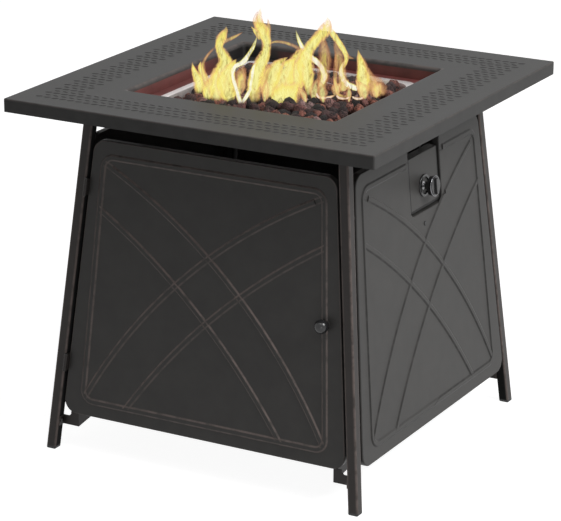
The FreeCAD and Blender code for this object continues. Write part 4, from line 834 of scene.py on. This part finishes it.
def add_tongue(mesh, tongue):
    """Flattened tube along a tongue's course, closed at both ends."""
    depth = tongue[0] * millimetre
    course = smooth_course(tongue[1:])
    core = mesh.verts.layers.float["core"]
    rise = mesh.verts.layers.float["rise"]
    rings = []
    for index, (across, height, width) in enumerate(course):
        ahead = course[min(index + 1, len(course) - 1)]
        behind = course[max(index - 1, 0)]
        run = Vector((ahead.x - behind.x, ahead.y - behind.y)).normalized()
        middle = flame_across * (across * millimetre) + flame_forward * depth
        middle.z = heap_top + height * millimetre
        half = width * flame_spread / 2 * millimetre
        wide = (flame_across * run.y + Vector((0, 0, -run.x))) * half
        thin = flame_forward * (half * flame_flatness)
        ring = []
        for turn in range(flame_around):
            angle = 2 * math.pi * turn / flame_around
            vertex = mesh.verts.new(middle + wide * math.cos(angle) + thin * math.sin(angle))
            vertex[core] = 1 - abs(math.cos(angle))
            vertex[rise] = index / (len(course) - 1)
            ring.append(vertex)
        rings.append(ring)
    join_rings(mesh, rings)
    mesh.faces.new(rings[0][::-1])
    mesh.faces.new(rings[-1])


def flame_piece(name, tongues, gas):
    """Tongues of one gas, made into one piece that rides on the table."""
    mesh = bmesh.new()
    for label in ("core", "rise"):
        mesh.verts.layers.float.new(label)
    for tongue in tongues:
        add_tongue(mesh, tongue)
    piece = new_piece(name, mesh, gas)
    # In the bright studio the thin flames neither light the table nor shade it.
    piece.visible_diffuse = False
    piece.visible_shadow = False
    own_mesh(piece)
    return piece


def low_tongues():
    """Small licks of flame between the rocks, as rows of points like those above."""
    chance = random.Random(lick_seed)
    tongues = []
    for _ in range(lick_count):
        across = chance.uniform(*lick_across)
        lean = chance.uniform(-lick_lean, lick_lean)
        height = chance.uniform(*lick_height)
        width = chance.uniform(*lick_width)
        depth = chance.uniform(*lick_depth)
        tongues.append((depth, (across, lick_foot, width * 0.2),
                        (across + lean * 0.2, height * 0.25, width),
                        (across + lean * 0.6, height * 0.65, width * 0.6),
                        (across + lean, height, lick_tip)))
    return tongues


dim_red = (0.40, 0.17, 0.10)
low_red = (0.45, 0.18, 0.09)
deep_orange = (0.60, 0.27, 0.11)
pale_orange = (0.88, 0.53, 0.23)
yellow = (0.92, 0.78, 0.17)
pale_yellow = (0.95, 0.90, 0.34)
warm_white = (0.98, 0.95, 0.76)
ember_white = (0.95, 0.78, 0.62)
main_flames = flame_piece("yellow_flames", yellow_tongues, flame_gas("yellow_gas", [
    (0.0, deep_orange), (0.24, pale_orange), (0.52, yellow), (0.90, pale_yellow)], 0.90))
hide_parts("flames")
flame_piece("white_flames", white_tongues, flame_gas("white_gas", [
    (0.0, pale_orange), (0.14, yellow), (0.34, pale_yellow), (0.60, warm_white)], 1.0))
flame_piece("pale_flames", pale_tongues, flame_gas("pale_gas", [
    (0.0, dim_red), (0.35, deep_orange), (0.75, pale_orange), (1.0, yellow)], 0.40))
flame_piece("low_flames", low_tongues(), flame_gas("low_gas", [
    (0.0, low_red), (0.25, deep_orange), (0.60, pale_orange), (0.95, pale_yellow)], 0.5))
flame_piece("ember_lines", ember_lines, flame_gas("ember_gas", [
    (0.0, deep_orange), (0.3, pale_orange), (0.7, ember_white)], 0.9))


# Floor, light and camera -----------------------------------------------------------------

white = (1, 1, 1, 1)
floor_grey = (0.4, 0.4, 0.4, 1.0)
floor_reach = 30.0
floor_glow = 0.93
world_light = 0.08
camera_sensor = 36.0
camera_lens = 173.75
camera_range = 100.0
camera_place = (2.224845, -4.037768, 1.837162)
camera_right = (0.874, 0.486, 0.004)
camera_back = (0.460, -0.831, 0.314)


def studio_floor():
    """Pale floor that is white where it is seen and keeps the table's shadow."""
    mesh = bpy.data.meshes.new("studio_floor")
    corners = [(x * floor_reach, y * floor_reach, 0) for x, y in ((-1, -1), (1, -1), (1, 1), (-1, 1))]
    mesh.from_pydata(corners, [], [(0, 1, 2, 3)])
    floor = bpy.data.objects.new("studio_floor", mesh)
    bpy.context.collection.objects.link(floor)
    finish = Finish("pale_floor", base_color=floor_grey, roughness=0.9)
    glow = finish.node("ShaderNodeEmission", {}, {"Color": white, "Strength": floor_glow})
    both = finish.node("ShaderNodeAddShader", {}, {0: finish.shader.outputs[0], 1: glow.outputs[0]})
    pick = finish.node("ShaderNodeMixShader", {}, {
        0: finish.seen_directly(), 1: finish.shader.outputs[0], 2: both.outputs[0]})
    finish.feed(finish.tree.nodes["Material Output"].inputs["Surface"], pick.outputs[0])
    mesh.materials.append(finish.material)


def white_world():
    """White where it is seen or reflected, softer where it only lights."""
    world = bpy.data.worlds.new("studio")
    world.use_nodes = True
    bpy.context.scene.world = world
    world.node_tree.nodes.clear()
    maker = NodeMaker(world.node_tree)
    light = maker.node("ShaderNodeBackground", {}, {"Color": white, "Strength": world_light})
    seen = maker.node("ShaderNodeBackground", {}, {"Color": white, "Strength": 1.0})
    pick = maker.node("ShaderNodeMixShader", {}, {
        0: maker.seen_directly(), 1: light.outputs[0], 2: seen.outputs[0]})
    maker.node("ShaderNodeOutputWorld", {}, {"Surface": pick.outputs[0]})


def softbox(name, place, target, side, power):
    """White square lamp that faces its target."""
    data = bpy.data.lights.new(name, "AREA")
    data.size = side
    data.energy = power
    lamp = bpy.data.objects.new(name, data)
    lamp.location = place
    lamp.rotation_euler = (Vector(target) - Vector(place)).to_track_quat("-Z", "Y").to_euler()
    bpy.context.collection.objects.link(lamp)


def camera():
    """Long lens that looks down on the corner between the door and the control plate."""
    data = bpy.data.cameras.new("camera")
    data.sensor_width = camera_sensor
    data.lens = camera_lens
    data.clip_end = camera_range
    seen = bpy.data.objects.new("camera", data)
    right = Vector(camera_right).normalized()
    back = Vector(camera_back).normalized()
    up = back.cross(right).normalized()
    right = up.cross(back)
    turn = Matrix((right, up, back)).transposed().to_4x4()
    seen.matrix_world = Matrix.Translation(camera_place) @ turn
    bpy.context.collection.objects.link(seen)
    bpy.context.scene.camera = seen


studio_floor()
white_world()
softbox("key", place=(2.8, -0.25, 3.1), target=(0, 0, 0.4), side=1.6, power=104)
softbox("sky", place=(0.6, -0.9, 3.3), target=(0, 0, 0.5), side=2.2, power=22)
softbox("front_fill", place=(2.0, -2.8, 0.6), target=(0, 0, 0.35), side=1.0, power=5)
camera()
bpy.context.scene.view_settings.view_transform = "Standard"
